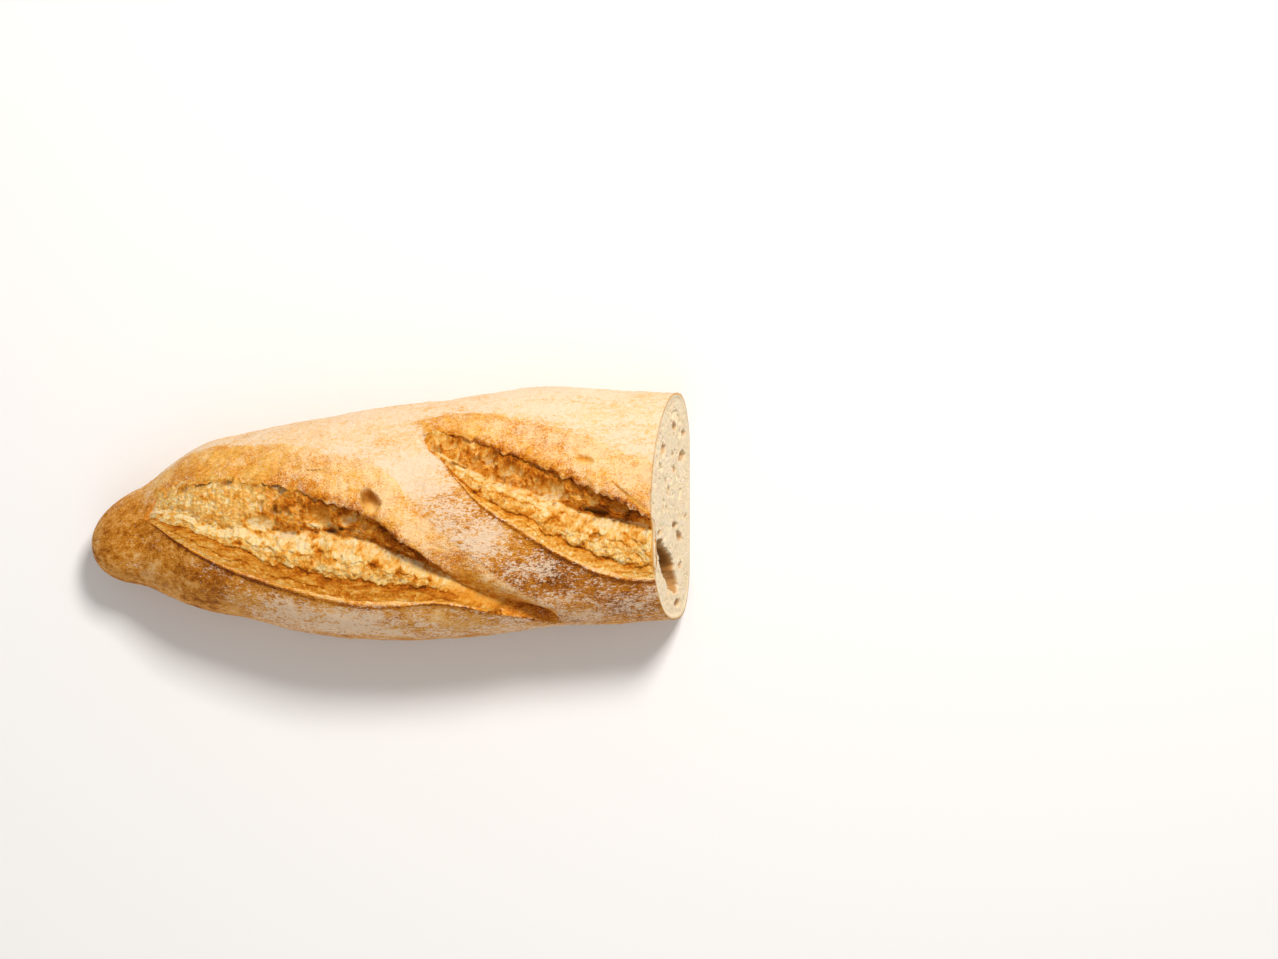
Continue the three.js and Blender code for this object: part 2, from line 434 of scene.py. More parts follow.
@dataclass
class LoafShape:
    """The loaf's sizes in millimetres and the surface that follows from them."""

    nose_x: float = -112.0
    cut_x: float = 110.2
    nose_round: float = 17.6
    nose_centre_drop: float = 1.5
    cut_lean: float = math.tan(math.radians(14.4))
    lean_starts_x: float = 20.0
    lean_passes: int = 5
    widest_at: float = 0.38
    base_pressed_flat: float = 1.6
    crown_near: float = 2.3
    crown_far: float = 1.8
    underside: float = 3.2
    swell_height: float = 0.5
    swell_length: float = 30.0
    lifted_above: float = 6.0
    noise: Noise = Noise(FORM_SEED)
    spine: Curve = Curve(
        (-110, -10.5), (-94, -7.7), (-70, -4.2), (-33, -4.0), (0, -2.9), (30, -0.4), (56, 2.9), (80, 3.4),
        (110, 3.6),
    )
    half_width: Curve = Curve(
        (-110, 15.4), (-94, 17.9), (-82, 24.9), (-70, 30.4), (-54, 34.3), (-33, 39.1), (-5, 42.8), (30, 44.8),
        (58, 44.5), (80, 43.4), (110, 41.9),
    )
    height: Curve = Curve(
        (-110, 27), (-94, 31), (-82, 38), (-70, 45), (-54, 51), (-33, 56), (-5, 59), (30, 60), (110, 57),
    )
    under_lift: Curve = Curve((-110, 8), (-98, 4), (-85, 0))
    near_slash: Slash = NEAR_SLASH
    far_slash: Slash = FAR_SLASH

    def shrink(self, x: Array) -> Array:
        """How much of the full section is left at x inside the rounded nose."""
        inside = np.clip((x - self.nose_x) / self.nose_round, 0, 1)
        return np.sqrt(np.clip(1 - (1 - inside) ** 2, 0, None))

    def surface(self, x: Array, angle: Array, relief: Array) -> Array:
        """Points of the loaf.

        Args:
            x: Places along the loaf.
            angle: Degrees round the section.
            relief: Millimetres outwards from the smooth crust.

        Returns:
            One point for each entry, in a last axis of three.
        """
        turn = np.radians(angle)
        across, up = -np.cos(turn), np.sin(turn)
        crown = np.where(across < 0, self.crown_near, self.crown_far)
        fullness = np.where(up > 0, crown, self.underside)
        reach = (np.abs(across) ** fullness + np.abs(up) ** fullness) ** (-1 / fullness)
        lift, height = self.under_lift(x), self.height(x)
        level = lift + self.widest_at * (height - lift)
        rise = np.where(up > 0, height - level, level - lift + self.base_pressed_flat)
        shrink = self.shrink(x)
        side = across * self.half_width(x) * reach * shrink
        top = up * rise * reach * shrink
        length = np.maximum(np.hypot(side, top), 1e-9)
        stretch = 1 + relief * shrink / length
        y = self.spine(x) + side * stretch
        z = level - self.nose_centre_drop * (1 - shrink) + top * stretch
        points = np.stack([x + 0 * y, y, np.maximum(z, 0)], axis=-1)
        swell = self.noise.smooth(points.reshape(-1, 3), self.swell_length).reshape(y.shape)
        lifted = np.clip(z / self.lifted_above, 0, 1) * swell * self.swell_height * shrink
        points[..., 1] += lifted * side / length
        points[..., 2] += lifted * top / length
        return points

    def rings(
        self,
        feet: Array,
        lines: int,
        angle_at: Callable[[Array], Array],
        relief_at: Callable[[Array, Array], Array],
    ) -> tuple[Array, Array, Array]:
        """Rings of the loaf that lean back towards the cut.

        Args:
            feet: Where each ring stands on the base, along the loaf.
            lines: How many points a ring has.
            angle_at: Degrees round the section of every point, from its x.
            relief_at: Relief of every point, from its x and angle.

        Returns:
            The points, their x and their angles, ring by ring.
        """
        lean = self.cut_lean * smoothstep(feet, self.lean_starts_x, self.cut_x)[:, None]
        x = np.repeat(feet[:, None], lines, axis=1)
        for _ in range(self.lean_passes):
            angle = angle_at(x)
            points = self.surface(x, angle, relief_at(x, angle))
            x = feet[:, None] - lean * points[..., 2]
        return points, points[..., 0], angle


def grid_mesh(
    name: str,
    points: Array,
    traces: dict[Trace, Array],
    fit: Fit,
    closed: bool = False,
) -> bmesh.types.BMesh:
    """Lay a fine grid over an array of points.

    Args:
        name: What the mesh is called while it is made.
        points: Rows of points in millimetres.
        traces: One value a point for each trace.
        fit: Brings points in millimetres to the frame's metres.
        closed: Whether the last line meets the first.

    Returns:
        The mesh, with doubles merged and one float layer for each trace.
    """
    columns, rows = points.shape[:2]
    made = bmesh.new()
    bmesh.ops.create_grid(made, x_segments=columns - 1, y_segments=rows - 1, size=0.5)
    flat = bpy.data.meshes.new(name + "_flat")
    made.to_mesh(flat)
    made.free()
    place = np.empty(len(flat.vertices) * 3)
    flat.vertices.foreach_get("co", place)
    place = place.reshape(-1, 3)
    column = np.rint((place[:, 0] + 0.5) * (columns - 1)).astype(int)
    row = np.rint((place[:, 1] + 0.5) * (rows - 1)).astype(int)
    flat.vertices.foreach_set("co", fit(points[column, row]).ravel())
    for trace, values in traces.items():
        layer = flat.attributes.new(trace.value, "FLOAT", "POINT")
        layer.data.foreach_set("value", values[column, row].ravel())
    made = bmesh.new()
    made.from_mesh(flat)
    bpy.data.meshes.remove(flat)
    if closed:
        bmesh.ops.remove_doubles(made, verts=made.verts, dist=2e-6)
    return made


def finish_piece(made: bmesh.types.BMesh, name: str, material: bpy.types.Material) -> bpy.types.Object:
    """Turn a bmesh into a smooth, dressed object that rides on the loaf's body.

    Args:
        made: The mesh in metres.
        name: The piece's name.
        material: Its finish.

    Returns:
        The object.
    """
    bmesh.ops.recalc_face_normals(made, faces=made.faces)
    if made.calc_volume(signed=True) < 0:
        bmesh.ops.reverse_faces(made, faces=made.faces)
    for face in made.faces:
        face.smooth = True
    mesh = bpy.data.meshes.new(name)
    made.to_mesh(mesh)
    made.free()
    mesh.materials.append(material)
    piece = bpy.data.objects.new(name, mesh)
    bpy.context.scene.collection.objects.link(piece)
    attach(piece, "root")
    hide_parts(NODE)
    triangles = sum(len(polygon.vertices) - 2 for polygon in mesh.polygons)
    log.info("%s: %d triangles", name, triangles)
    return piece


@dataclass(frozen=True)
class Cave:
    """A hollow with a smooth wall.

    Its middle, half its lengths along and round the loaf in millimetres, its depth, the degrees that it is
    turned by and how dark its painted shade is inside, from 0 to 1.
    """

    x: float
    angle: float
    along: float
    around: float
    depth: float
    turn: float = 0.0
    dark: float = 0.3

    FRAYED: ClassVar[float] = 0.14
    FRAYED_TO: ClassVar[float] = 1.8

    def open(self, x: Array, angle: Array, noise: Noise) -> tuple[Array, Array, Array]:
        """How the hollow opens the surface.

        Args:
            x: Places along the loaf.
            angle: Degrees round the section.
            noise: Makes its outline irregular.

        Returns:
            Millimetres inwards, the way to the outline, 0 in the middle and 1 on it, and the way from the
            hollow's lower edge, -1, to its upper, 1.
        """
        dy = (angle - self.angle) * MM_PER_DEGREE
        along, across = turned(x - self.x, dy, self.turn)
        away = np.sqrt((along / self.along) ** 2 + (across / self.around) ** 2)
        near = away < self.FRAYED_TO
        flat = np.stack([x[near], MM_PER_DEGREE * angle[near], np.full(near.sum(), 5.0)], axis=1)
        away[near] *= 1 + self.FRAYED * noise.layered(flat, 3.0, 3, 0.8)
        reach = max(self.along * abs(math.sin(math.radians(self.turn))), self.around)
        upward = np.clip(dy / reach, -1, 1)
        return self.depth * np.sqrt(np.clip(1 - away**2, 0, None)), away, upward


# Burst bubbles, splits and the dimple of the nose, in the skin.
SKIN_CAVES = each(
    Cave,
    (-5.2, 101.5, 3.0, 5.0, 5.2, 24, 0.7), (71.8, 112.5, 3.2, 1.8, 2.0, -22, 0.15),
    (-24.3, 121.0, 4.8, 0.4, 0.8, -4, 0.8), (88.0, 94.5, 8.0, 0.5, 0.9, -42, 0.6),
    (-109.3, 98.0, 1.3, 1.6, 1.6, 20, 0.6),
)
# Caves in the torn crumb of the near and the far slash.
NEAR_CAVES = each(
    Cave,
    (-24.3, 95.5, 5.0, 5.4, 4.8, 10, 0.05), (-13.2, 94.5, 3.0, 4.4, 3.8, -15, 0.08),
    (-45.5, 93.0, 5.5, 4.0, 1.8, 0, 0.04), (-36.0, 86.5, 4.0, 2.4, 1.8, 0, 0.06),
    (-35.7, 99.5, 1.4, 1.8, 2.0, 0, 0.45), (-40.1, 101.0, 1.0, 2.2, 2.6, 0, 0.75),
    (-45.2, 104.2, 1.0, 3.2, 1.6, 0, 0.4), (-19.8, 87.0, 2.2, 1.2, 2.8, 0, 0.85),
    (-25.5, 86.4, 1.2, 0.8, 1.8, 0, 0.8), (-16.0, 88.6, 1.2, 0.9, 2.2, 0, 0.8),
    (-67.3, 122.0, 3.4, 1.5, 1.8, 0, 0.5), (-58.2, 120.0, 2.4, 1.5, 2.0, 0, 0.55),
    (-52.1, 120.0, 0.8, 2.6, 1.2, 30, 0.5), (-40.1, 115.0, 1.8, 1.2, 1.6, 0, 0.6),
    (-74.9, 122.0, 1.6, 1.8, 1.4, 35, 0.4), (-47.0, 115.5, 1.2, 0.6, 1.0, 0, 0.5),
)
FAR_CAVES = each(
    Cave,
    (17.8, 130.0, 1.8, 2.8, 2.6, 30, 0.35), (23.4, 131.5, 3.2, 2.4, 2.4, 0, 0.15),
    (25.0, 119.0, 1.5, 1.3, 2.4, 0, 0.7), (28.0, 117.6, 1.2, 1.0, 2.4, 0, 0.7),
    (32.2, 121.8, 1.8, 1.4, 2.0, 0, 0.45), (37.5, 121.2, 3.2, 1.8, 2.4, 0, 0.35),
    (43.6, 113.0, 3.2, 2.4, 2.4, 0, 0.3), (57.5, 100.0, 6.5, 3.8, 3.2, -25, 0.08),
    (74.3, 88.8, 4.6, 1.9, 4.2, -15, 0.9), (82.5, 91.5, 4.8, 3.2, 2.6, -30, 0.12),
    (91.0, 82.8, 4.4, 2.6, 1.8, -25, 0.15), (75.1, 75.5, 1.9, 1.5, 1.2, 0, 0.25),
)


def close_behind(
    made: bmesh.types.BMesh, steps: Sequence[tuple[float, float]], traces: dict[Trace, float] | None = None
) -> None:
    """Close a mesh behind its open rim at the cut.

    Args:
        made: The mesh, with one open rim.
        steps: Millimetres back from the rim and share of its size, step by step.
        traces: What the closing faces show, where it differs from the rim.
    """
    layers = made.verts.layers.float
    edges = [edge for edge in made.edges if edge.is_boundary]
    gone, size = 0.0, 1.0
    for back, share in steps:
        grown = bmesh.ops.extrude_edge_only(made, edges=edges)["geom"]
        inner = [part for part in grown if isinstance(part, bmesh.types.BMVert)]
        edges = [part for part in grown if isinstance(part, bmesh.types.BMEdge)]
        bmesh.ops.translate(made, verts=inner, vec=Vector(((gone - back) * MM, 0, 0)))
        across = [vert.co.y for vert in inner]
        up = [vert.co.z for vert in inner]
        centre = Vector((0, (min(across) + max(across)) / 2, (min(up) + max(up)) / 2))
        shrink = share / size
        bmesh.ops.scale(made, verts=inner, vec=(1, shrink, shrink), space=Matrix.Translation(-centre))
        for vert in inner:
            for trace, value in (traces or {}).items():
                vert[layers[trace.value]] = value
        gone, size = back, share
    bmesh.ops.edgeloop_fill(made, edges=edges)


@dataclass
class CrustPiece:
    """The baked skin all round, with a lip below and an ear above each slash."""

    shape: LoafShape
    nose_rings: int = 24
    body_rings: int = 370
    noise: Noise = Noise(SKIN_SEED)

    # Steps across a slash as (place, share of the depth): up over the lip's rim, down behind the crumb and out
    # again under the ear, then round the ear's torn edge.
    RIM: ClassVar[Sequence[tuple[float, float]]] = (
        (-0.2, 0.0), (-0.12, 0.02), (-0.06, 0.04), (-0.02, 0.06), (0.015, 0.055), (0.035, 0.0), (0.045, -0.12),
        (0.06, -0.4), (0.1, -0.9), (0.2, -2.2), (1.0, -2.4), (1.7, -2.0), (1.97, -1.2), (2.03, -0.6),
        (2.04, -0.25), (2.02, -0.1), (2.0, 0.0), (1.985, 0.05), (1.995, 0.1), (2.02, 0.14), (2.06, 0.165),
    )
    EAR: ClassVar[tuple[float, float]] = (1.97, 2.06)
    # Share of the depth over the bare skin, on the side of a trough and in its bed, by the place across.
    BARE: ClassVar[Curve] = Curve((2.06, 0.165), (2.15, 0.18), (2.4, 0.15), (2.75, 0.07), (3.06, 0.0))
    TROUGH_SIDE: ClassVar[Curve] = Curve(
        (1.9, 0.66), (2.06, 0.6), (2.2, 0.49), (2.45, 0.31), (2.75, 0.12), (3.06, 0.0)
    )
    TROUGH_BED: ClassVar[Curve] = Curve(
        (0.02, 0.0), (0.1, -0.2), (0.2, -0.4), (1.0, -0.95), (1.7, -0.82), (1.97, -0.66)
    )
    # How many lines there are over the bare skin, under the loaf, up each side and between the slashes.
    BARE_STEPS: ClassVar[int] = 38
    UNDER_STEPS: ClassVar[int] = 8
    SIDE_STEPS: ClassVar[int] = 32
    BAND_STEPS: ClassVar[int] = 26
    SIDE_FROM: ClassVar[float] = -25.0
    # The skin behind the cut: millimetres back and share of the size, and what it shows.
    BEHIND: ClassVar[Sequence[tuple[float, float]]] = ((0.5, 0.972), (3.0, 0.9), (6.0, 0.8), (14.0, 0.74))
    BEHIND_TRACES: ClassVar[dict[Trace, float]] = {
        Trace.FLOUR_AND_GLINT: 1.0, Trace.TOAST: 0.1, Trace.BARE: 0.0, Trace.SMOOTH: 1.0, Trace.HOLLOW: 0.25,
    }

    def __post_init__(self) -> None:
        """Work out the steps across a slash."""
        bare = np.linspace(self.BARE.places[0], self.BARE.places[-1], self.BARE_STEPS + 1)[1:]
        self.places = np.array([place for place, _ in self.RIM] + list(bare))
        self.shares = np.array([share for _, share in self.RIM] + list(self.BARE(bare)))
        start, end = self.EAR
        self.is_ear = self.places >= start
        folded = self.is_ear & (self.places <= end)
        self.unfolded = self.places.copy()
        self.unfolded[folded] = np.linspace(start, end, folded.sum())

    def _layout(self) -> tuple[int, int, int, int, int]:
        """Count the lines round the loaf.

        Returns:
            Where the near side, near slash, band, far slash and far side begin, in lines.
        """
        across = len(self.places) - 1
        near = self.UNDER_STEPS + self.SIDE_STEPS
        far = near + across + self.BAND_STEPS
        return self.UNDER_STEPS, near, near + across, far, far + across

    def _angles(self, x: Array) -> Array:
        """Spread the skin's lines round the loaf.

        Args:
            x: Places along the loaf, ring by ring and line by line.

        Returns:
            Degrees round the section.
        """
        near, far = self.shape.near_slash, self.shape.far_slash
        first, last = self.places[0], self.places[-1]
        side_at, near_at, band_at, far_at, back_at = self._layout()
        under_at = back_at + self.SIDE_STEPS
        angle = np.empty(x.shape)

        def spread(start_at: int, end_at: int, start: Array, end: Array, closed: int = 0) -> None:
            """Lines spread evenly from start to end."""
            share = np.arange(end_at - start_at) / (end_at - start_at - closed)
            angle[:, start_at:end_at] = start + (end - start) * share

        spread(0, side_at, -90.0, self.SIDE_FROM)
        spread(side_at, near_at, self.SIDE_FROM, near.angle(x[:, side_at:near_at], first))
        angle[:, near_at:band_at] = self._slash_angles(x[:, near_at:band_at], near)
        band = x[:, band_at:far_at]
        spread(band_at, far_at, near.angle(band, last), far.angle(band, first))
        angle[:, far_at:back_at] = self._slash_angles(x[:, far_at:back_at], far)
        spread(back_at, under_at, far.angle(x[:, back_at:under_at], last), 180 - self.SIDE_FROM)
        spread(under_at, x.shape[1], 180 - self.SIDE_FROM, 270.0, closed=1)
        return angle

    def _slash_angles(self, x: Array, slash: Slash) -> Array:
        """Place the lines across a slash, spread evenly where it is closed.

        Args:
            x: Places along the loaf.
            slash: The slash.

        Returns:
            Degrees round the section.
        """
        even = np.linspace(self.places[0], self.places[-1], len(self.places))[:-1]
        place = even + (self._steps(x, slash) - even) * slash.opening(x)
        return slash.angle(x, place) + self._ear_wobble(x, slash)

    def _steps(self, x: Array, slash: Slash) -> Array:
        """Place of each line across a slash, with no fold under the ear where the groove's bed is crust."""
        return self.places[:-1] + (self.unfolded - self.places)[:-1] * smoothstep(x, *slash.bed)

    def _ear_wobble(self, x: Array, slash: Slash) -> Array:
        """Make the ear's torn edge and the lip wander to and fro along the loaf.

        Args:
            x: Places along the loaf.
            slash: The slash.

        Returns:
            Degrees to add to each line's.
        """
        flat = np.stack([x.ravel(), np.zeros(x.size), np.full(x.size, slash.ends[0])], axis=1)
        wander = 2.0 * self.noise.smooth(flat, 9.0) + 1.7 * self.noise.smooth(flat, 3.1)
        wander += 1.1 * self.noise.smooth(flat, 1.5)
        places = self.places[:-1]
        weight = (smoothstep(places, 1.7, 1.95) * (1 - smoothstep(places, 2.0, 2.35)))[None, :]
        weight = weight * (1 - 0.85 * smoothstep(x, *slash.trough))
        lip = bell(places, 0.09)[None, :]
        fine = 0.7 * self.noise.smooth(flat + 50, 6.0) + 0.5 * self.noise.smooth(flat + 50, 1.8)
        return (wander.reshape(x.shape) * weight + fine.reshape(x.shape) * lip) * slash.opening(x)

    def _relief(self, x: Array, angle: Array) -> Array:
        """Work out the steps across both slashes and the crust's unevenness.

        Args:
            x: Places along the loaf.
            angle: Degrees round the section.

        Returns:
            Millimetres outwards.
        """
        relief = self._texture(x, angle)
        _, near_at, band_at, far_at, back_at = self._layout()
        is_ear, shares = self.is_ear[:-1], self.shares[:-1]
        for slash, lines in (
            (self.shape.near_slash, slice(near_at, band_at)),
            (self.shape.far_slash, slice(far_at, back_at)),
        ):
            along = x[:, lines]
            rise = np.where(is_ear & (shares > 0), slash.ear_rise(along), 1.0)
            sunk = smoothstep(along, *slash.trough) * self.TROUGH_SIDE(self._steps(along, slash)) * is_ear
            bed = smoothstep(along, *slash.bed)
            low = shares * (1 - bed) + self.TROUGH_BED(self.places[:-1]) * bed
            share = np.where(is_ear, shares * rise * (1 - bed) - sunk, low)
            relief[:, lines] += slash.opening(along, angle[:, lines]) * slash.depth(along) * share
        for cave in SKIN_CAVES:
            relief -= cave.open(x, angle, self.noise)[0]
        return relief

    def _texture(self, x: Array, angle: Array) -> Array:
        """Work out the swells, wrinkles and blisters of the crust.

        Args:
            x: Places along the loaf.
            angle: Degrees round the section.

        Returns:
            Millimetres outwards.
        """
        shape = x.shape
        flat = np.stack([x.ravel(), 0.75 * angle.ravel(), np.zeros(x.size)], axis=1)
        swell = 0.35 * self.noise.layered(flat, 15.0, 2)
        pebbles = 0.17 * self.noise.layered(flat * [0.8, 1.2, 1], 3.4, 3, 0.7)
        bare = np.zeros(shape)
        for slash in (self.shape.near_slash, self.shape.far_slash):
            place = slash.place(x, angle)
            side = smoothstep(place, 1.98, 2.1) * (1 - smoothstep(place, 2.7, 3.0))
            bare = np.maximum(bare, side * slash.opening(x, angle) * (1 - 0.6 * smoothstep(x, *slash.trough)))
        blisters = 0.45 * self.noise.mounds(flat + 70, 2.4) + 0.2 * self.noise.layered(flat + 70, 5.0, 2)
        threads = 0.3 * self.noise.smooth(flat * [1, 0.16, 1] + 130, 1.9)
        strength = smoothstep(angle, -85.0, -60.0) * (1 - smoothstep(angle, 240.0, 265.0))
        return strength * (swell + pebbles).reshape(shape) + bare * (blisters + threads).reshape(shape)

    def points(self) -> tuple[Array, Array, Array]:
        """Work out the skin.

        Returns:
            Its points, their x and their angles, ring by ring.
        """
        quarter = np.linspace(0, math.pi / 2, self.nose_rings + 1)[:-1]
        nose = self.shape.nose_x + self.shape.nose_round * (1 - np.cos(quarter))
        body = np.linspace(self.shape.nose_x + self.shape.nose_round, self.shape.cut_x, self.body_rings)
        feet = np.concatenate([nose, body])
        lines = self._layout()[-1] + self.SIDE_STEPS + self.UNDER_STEPS + 1
        return self.shape.rings(feet, lines, self._angles, self._relief)

    def build(self, fit: Fit, material: bpy.types.Material) -> bpy.types.Object:
        """Make the skin and close it behind the cut.

        Args:
            fit: Brings it into the frame.
            material: Its finish.

        Returns:
            The piece.
        """
        points, x, angle = self.points()
        made = grid_mesh("crust", points, Baking(self.shape, points, x, angle).traces(), fit, closed=True)
        close_behind(made, self.BEHIND, self.BEHIND_TRACES)
        return finish_piece(made, "crust", material)


@dataclass(frozen=True)
class Patch:
    """A soft-edged patch of the crust: where its middle is, and how far it reaches along and round."""

    x: float
    angle: float
    along: float
    around: float
    strength: float

    def share(self, x: Array, angle: Array) -> Array:
        """The patch's strength at each point, fading outwards."""
        away = ((x - self.x) / self.along) ** 2 + ((angle - self.angle) / self.around) ** 2
        return self.strength * np.exp(-away)


# More flour, more browning, and toasted peaks of the torn crumb in the near and the far slash.
FLOURED = each(
    Patch,
    (14, 106, 12, 9, 0.08), (-20, 38, 30, 12, 0.3), (36, 79, 8, 7, 0.4), (54, 62, 7, 6, 0.32),
    (12, 118, 12, 14, 0.3), (55, 165, 45, 22, 0.3), (90, 35, 22, 14, 0.05),
)
BAKED = each(
    Patch,
    (-78, 76, 7, 9, 0.34), (-72, 45, 16, 32, 0.6), (26, 97, 15, 12, 0.32), (56, 62, 18, 17, 0.36),
    (88, 42, 22, 22, 0.3), (30, 50, 20, 10, 0.2), (-10, 12, 60, 12, 0.1),
)
NEAR_TOAST = (Patch(-23.3, 75.5, 3.0, 3.6, 0.5), Patch(-3.4, 70.0, 2.2, 2.6, 0.45))
FAR_TOAST = (Patch(60.0, 84.0, 4.0, 3.0, 0.3), Patch(85.0, 74.0, 4.0, 3.0, 0.25))


class Baking:
    """Where the skin is floured, how dark it is baked, where it is bare, hollow or smooth, and its painted
    glints and shade.
    """

    PLAIN_GLINT: ClassVar[float] = 0.2

    def __init__(self, shape: LoafShape, points: Array, x: Array, angle: Array) -> None:
        """Work out what the slashes bare and brown.

        Args:
            shape: The loaf.
            points: The skin's points.
            x: Their places along the loaf.
            angle: Their degrees round the section.
        """
        self.points, self.x, self.angle = points, x, angle
        self.noise = Noise(BAKE_SEED)
        self.flat = points.reshape(-1, 3)
        self.drift = self._layers(self.flat, 16.0, 3)
        self.fray = self._layers(self.flat, 3.0, 2)
        self.dapple = self._layers(self.flat + 90, 6.0, 3, 0.7)
        self.bare, self.edge, self.brown, self.baked_off = (np.zeros(x.shape) for _ in range(4))
        self.glint = np.full(x.shape, self.PLAIN_GLINT)
        for slash in (shape.near_slash, shape.far_slash):
            self._mark(slash)

    def _layers(self, flat: Array, *settings: float) -> Array:
        """Layered noise in the shape of the skin."""
        return self.noise.layered(flat, *settings).reshape(self.x.shape)

    def _mark(self, slash: Slash) -> None:
        """Add what one slash does to the skin.

        Args:
            slash: The slash.
        """
        x, fray = self.x, self.fray
        place = slash.place(x, self.angle)
        opening = slash.opening(x, self.angle)
        frayed = place + 0.05 * self.drift + 0.06 * fray
        blur = 0.04 + 0.12 * smoothstep(x, -35.0, 0.0)
        inside = smoothstep(place, 0.0, 0.03) * (1 - smoothstep(frayed, 2.98 - blur, 2.98 + blur))
        self.bare = np.maximum(self.bare, inside * opening)

        trough = smoothstep(x, *slash.trough) * smoothstep(place, 0.0, 0.5) * (1 - smoothstep(place, 2.2, 3.1))
        # How much the bare skin glints: painted highlights with some flour dust, more of them further along the
        # slash.
        paler = 0.34 + 0.34 * smoothstep(x, *slash.paler) + 0.14 * (place - 2.4) + 0.12 * self.dapple
        # Painted shade: the dark pocket where the trough's bed ends.
        pocket = np.exp(-(((x - slash.ends[2] + 2) / 5) ** 2) - ((place - 0.9) / 0.8) ** 2)
        self.brown += 0.1 * trough + 0.3 * pocket * smoothstep(x, *slash.bed)

        # Painted highlight: a cream glint along the lip's rim, stronger where the light falls on it.
        lit = 0.35 + 0.65 * smoothstep(x, -50.0, -20.0)
        rim = lit * bell(place - 0.03, 0.03) * (0.35 + 0.65 * smoothstep(fray + self.dapple, -0.4, 0.3))
        on_rim = (place > -0.01) & (place < 0.4)
        self.glint = np.where(place > 0.5, paler - 0.4 * trough, self.glint)
        self.glint = np.where(on_rim, self.PLAIN_GLINT + 0.28 * rim, self.glint)
        self.baked_off += opening * bell(place + 0.1, 0.12) * (place < 0.1)

        lip = (1.2 - 0.3 * smoothstep(x, -45.0, -15.0)) * bell(place + 0.045, 0.045) - 0.4 * rim
        crest = bell(place + 0.03 * fray - 2.0, 0.07) + 0.35 * bell(place - 2.1, 0.12)
        ear = (0.55 + 0.5 * fray) * crest * slash.ear_rise(x)
        sill = 0.2 * bell(frayed - 2.9, 0.1) * smoothstep(x, -30.0, 0.0)
        self.edge += np.where(place < 0.4, lip, np.maximum(ear, sill)) * opening

    def traces(self) -> dict[Trace, Array]:
        """Bake and flour the skin, and paint its glints and the shade in its caves.

        Returns:
            Flour and painted glints, toast, bareness, painted shade in hollows and smoothness, 0 to 1, for each
            point.
        """
        x, angle, bare, drift = self.x, self.angle, self.bare, self.drift
        nose = 1 - smoothstep(x + 5 * drift + 0.3 * np.clip(angle - 90, -50, 60), -88.0, -60.0)
        under = 1 - smoothstep(self.points[..., 2], 3.0, 16.0)
        # The near side is browned more and floured a little less, partly its own baking and partly painted
        # shade on the side turned from the light.
        near_side = 1 - smoothstep(angle + 6 * drift, 62.0, 118.0)

        flour = 0.5 + 0.1 * drift - 0.04 * near_side + sum(patch.share(x, angle) for patch in FLOURED)
        flour = flour + 0.05 * smoothstep(angle, 112.0, 130.0)
        flour = flour * (1 - 0.84 * nose) * (1 - 0.6 * under) - 0.1 * nose - 0.12 * self.baked_off
        # On the bare skin the flour trace carries the painted glints.
        flour = flour + (self.glint - flour) * smoothstep(bare, 0.2, 0.8) - 0.45 * self.edge

        toast = 0.1 + 0.3 * near_side + sum(patch.share(x, angle) for patch in BAKED) + 0.1 * drift
        bare_toast = 0.5 + 0.08 * drift + 0.04 * self.fray
        nose_toast = 0.53 + 0.08 * drift + 0.06 * self.fray
        toast = toast * (1 - bare) * (1 - nose) + bare * bare_toast + nose * (1 - bare) * nose_toast
        streaks = self._layers(self.flat * [0.3, 1, 1] + 130, 2.2, 3, 0.8)
        toast = toast + 0.36 * self.edge + 0.12 * under + self.brown + 0.06 * self.baked_off
        toast = toast + (0.15 * nose + 0.09 * near_side) * (1 - bare) * streaks

        # Caves: painted shade on their upper side, and toast darker there and paler on their lower side, as the
        # light falls.
        hollow, smooth = np.zeros(x.shape), np.zeros(x.shape)
        for cave in SKIN_CAVES:
            _, away, upward = cave.open(x, angle, self.noise)
            inside = 1 - smoothstep(away, 0.8, 1.15)
            hollow = np.maximum(hollow, cave.dark * inside * smoothstep(upward, -0.35, 0.35))
            smooth = np.maximum(smooth, inside)
            toast += inside * (0.38 * upward - 0.3)
        return {
            Trace.SMOOTH: smooth,
            Trace.HOLLOW: hollow,
            Trace.FLOUR_AND_GLINT: np.clip(flour * (1 - smooth), 0, 1),
            Trace.TOAST: np.clip(toast, 0, 1),
            Trace.BARE: np.clip(bare, 0, 1),
        }


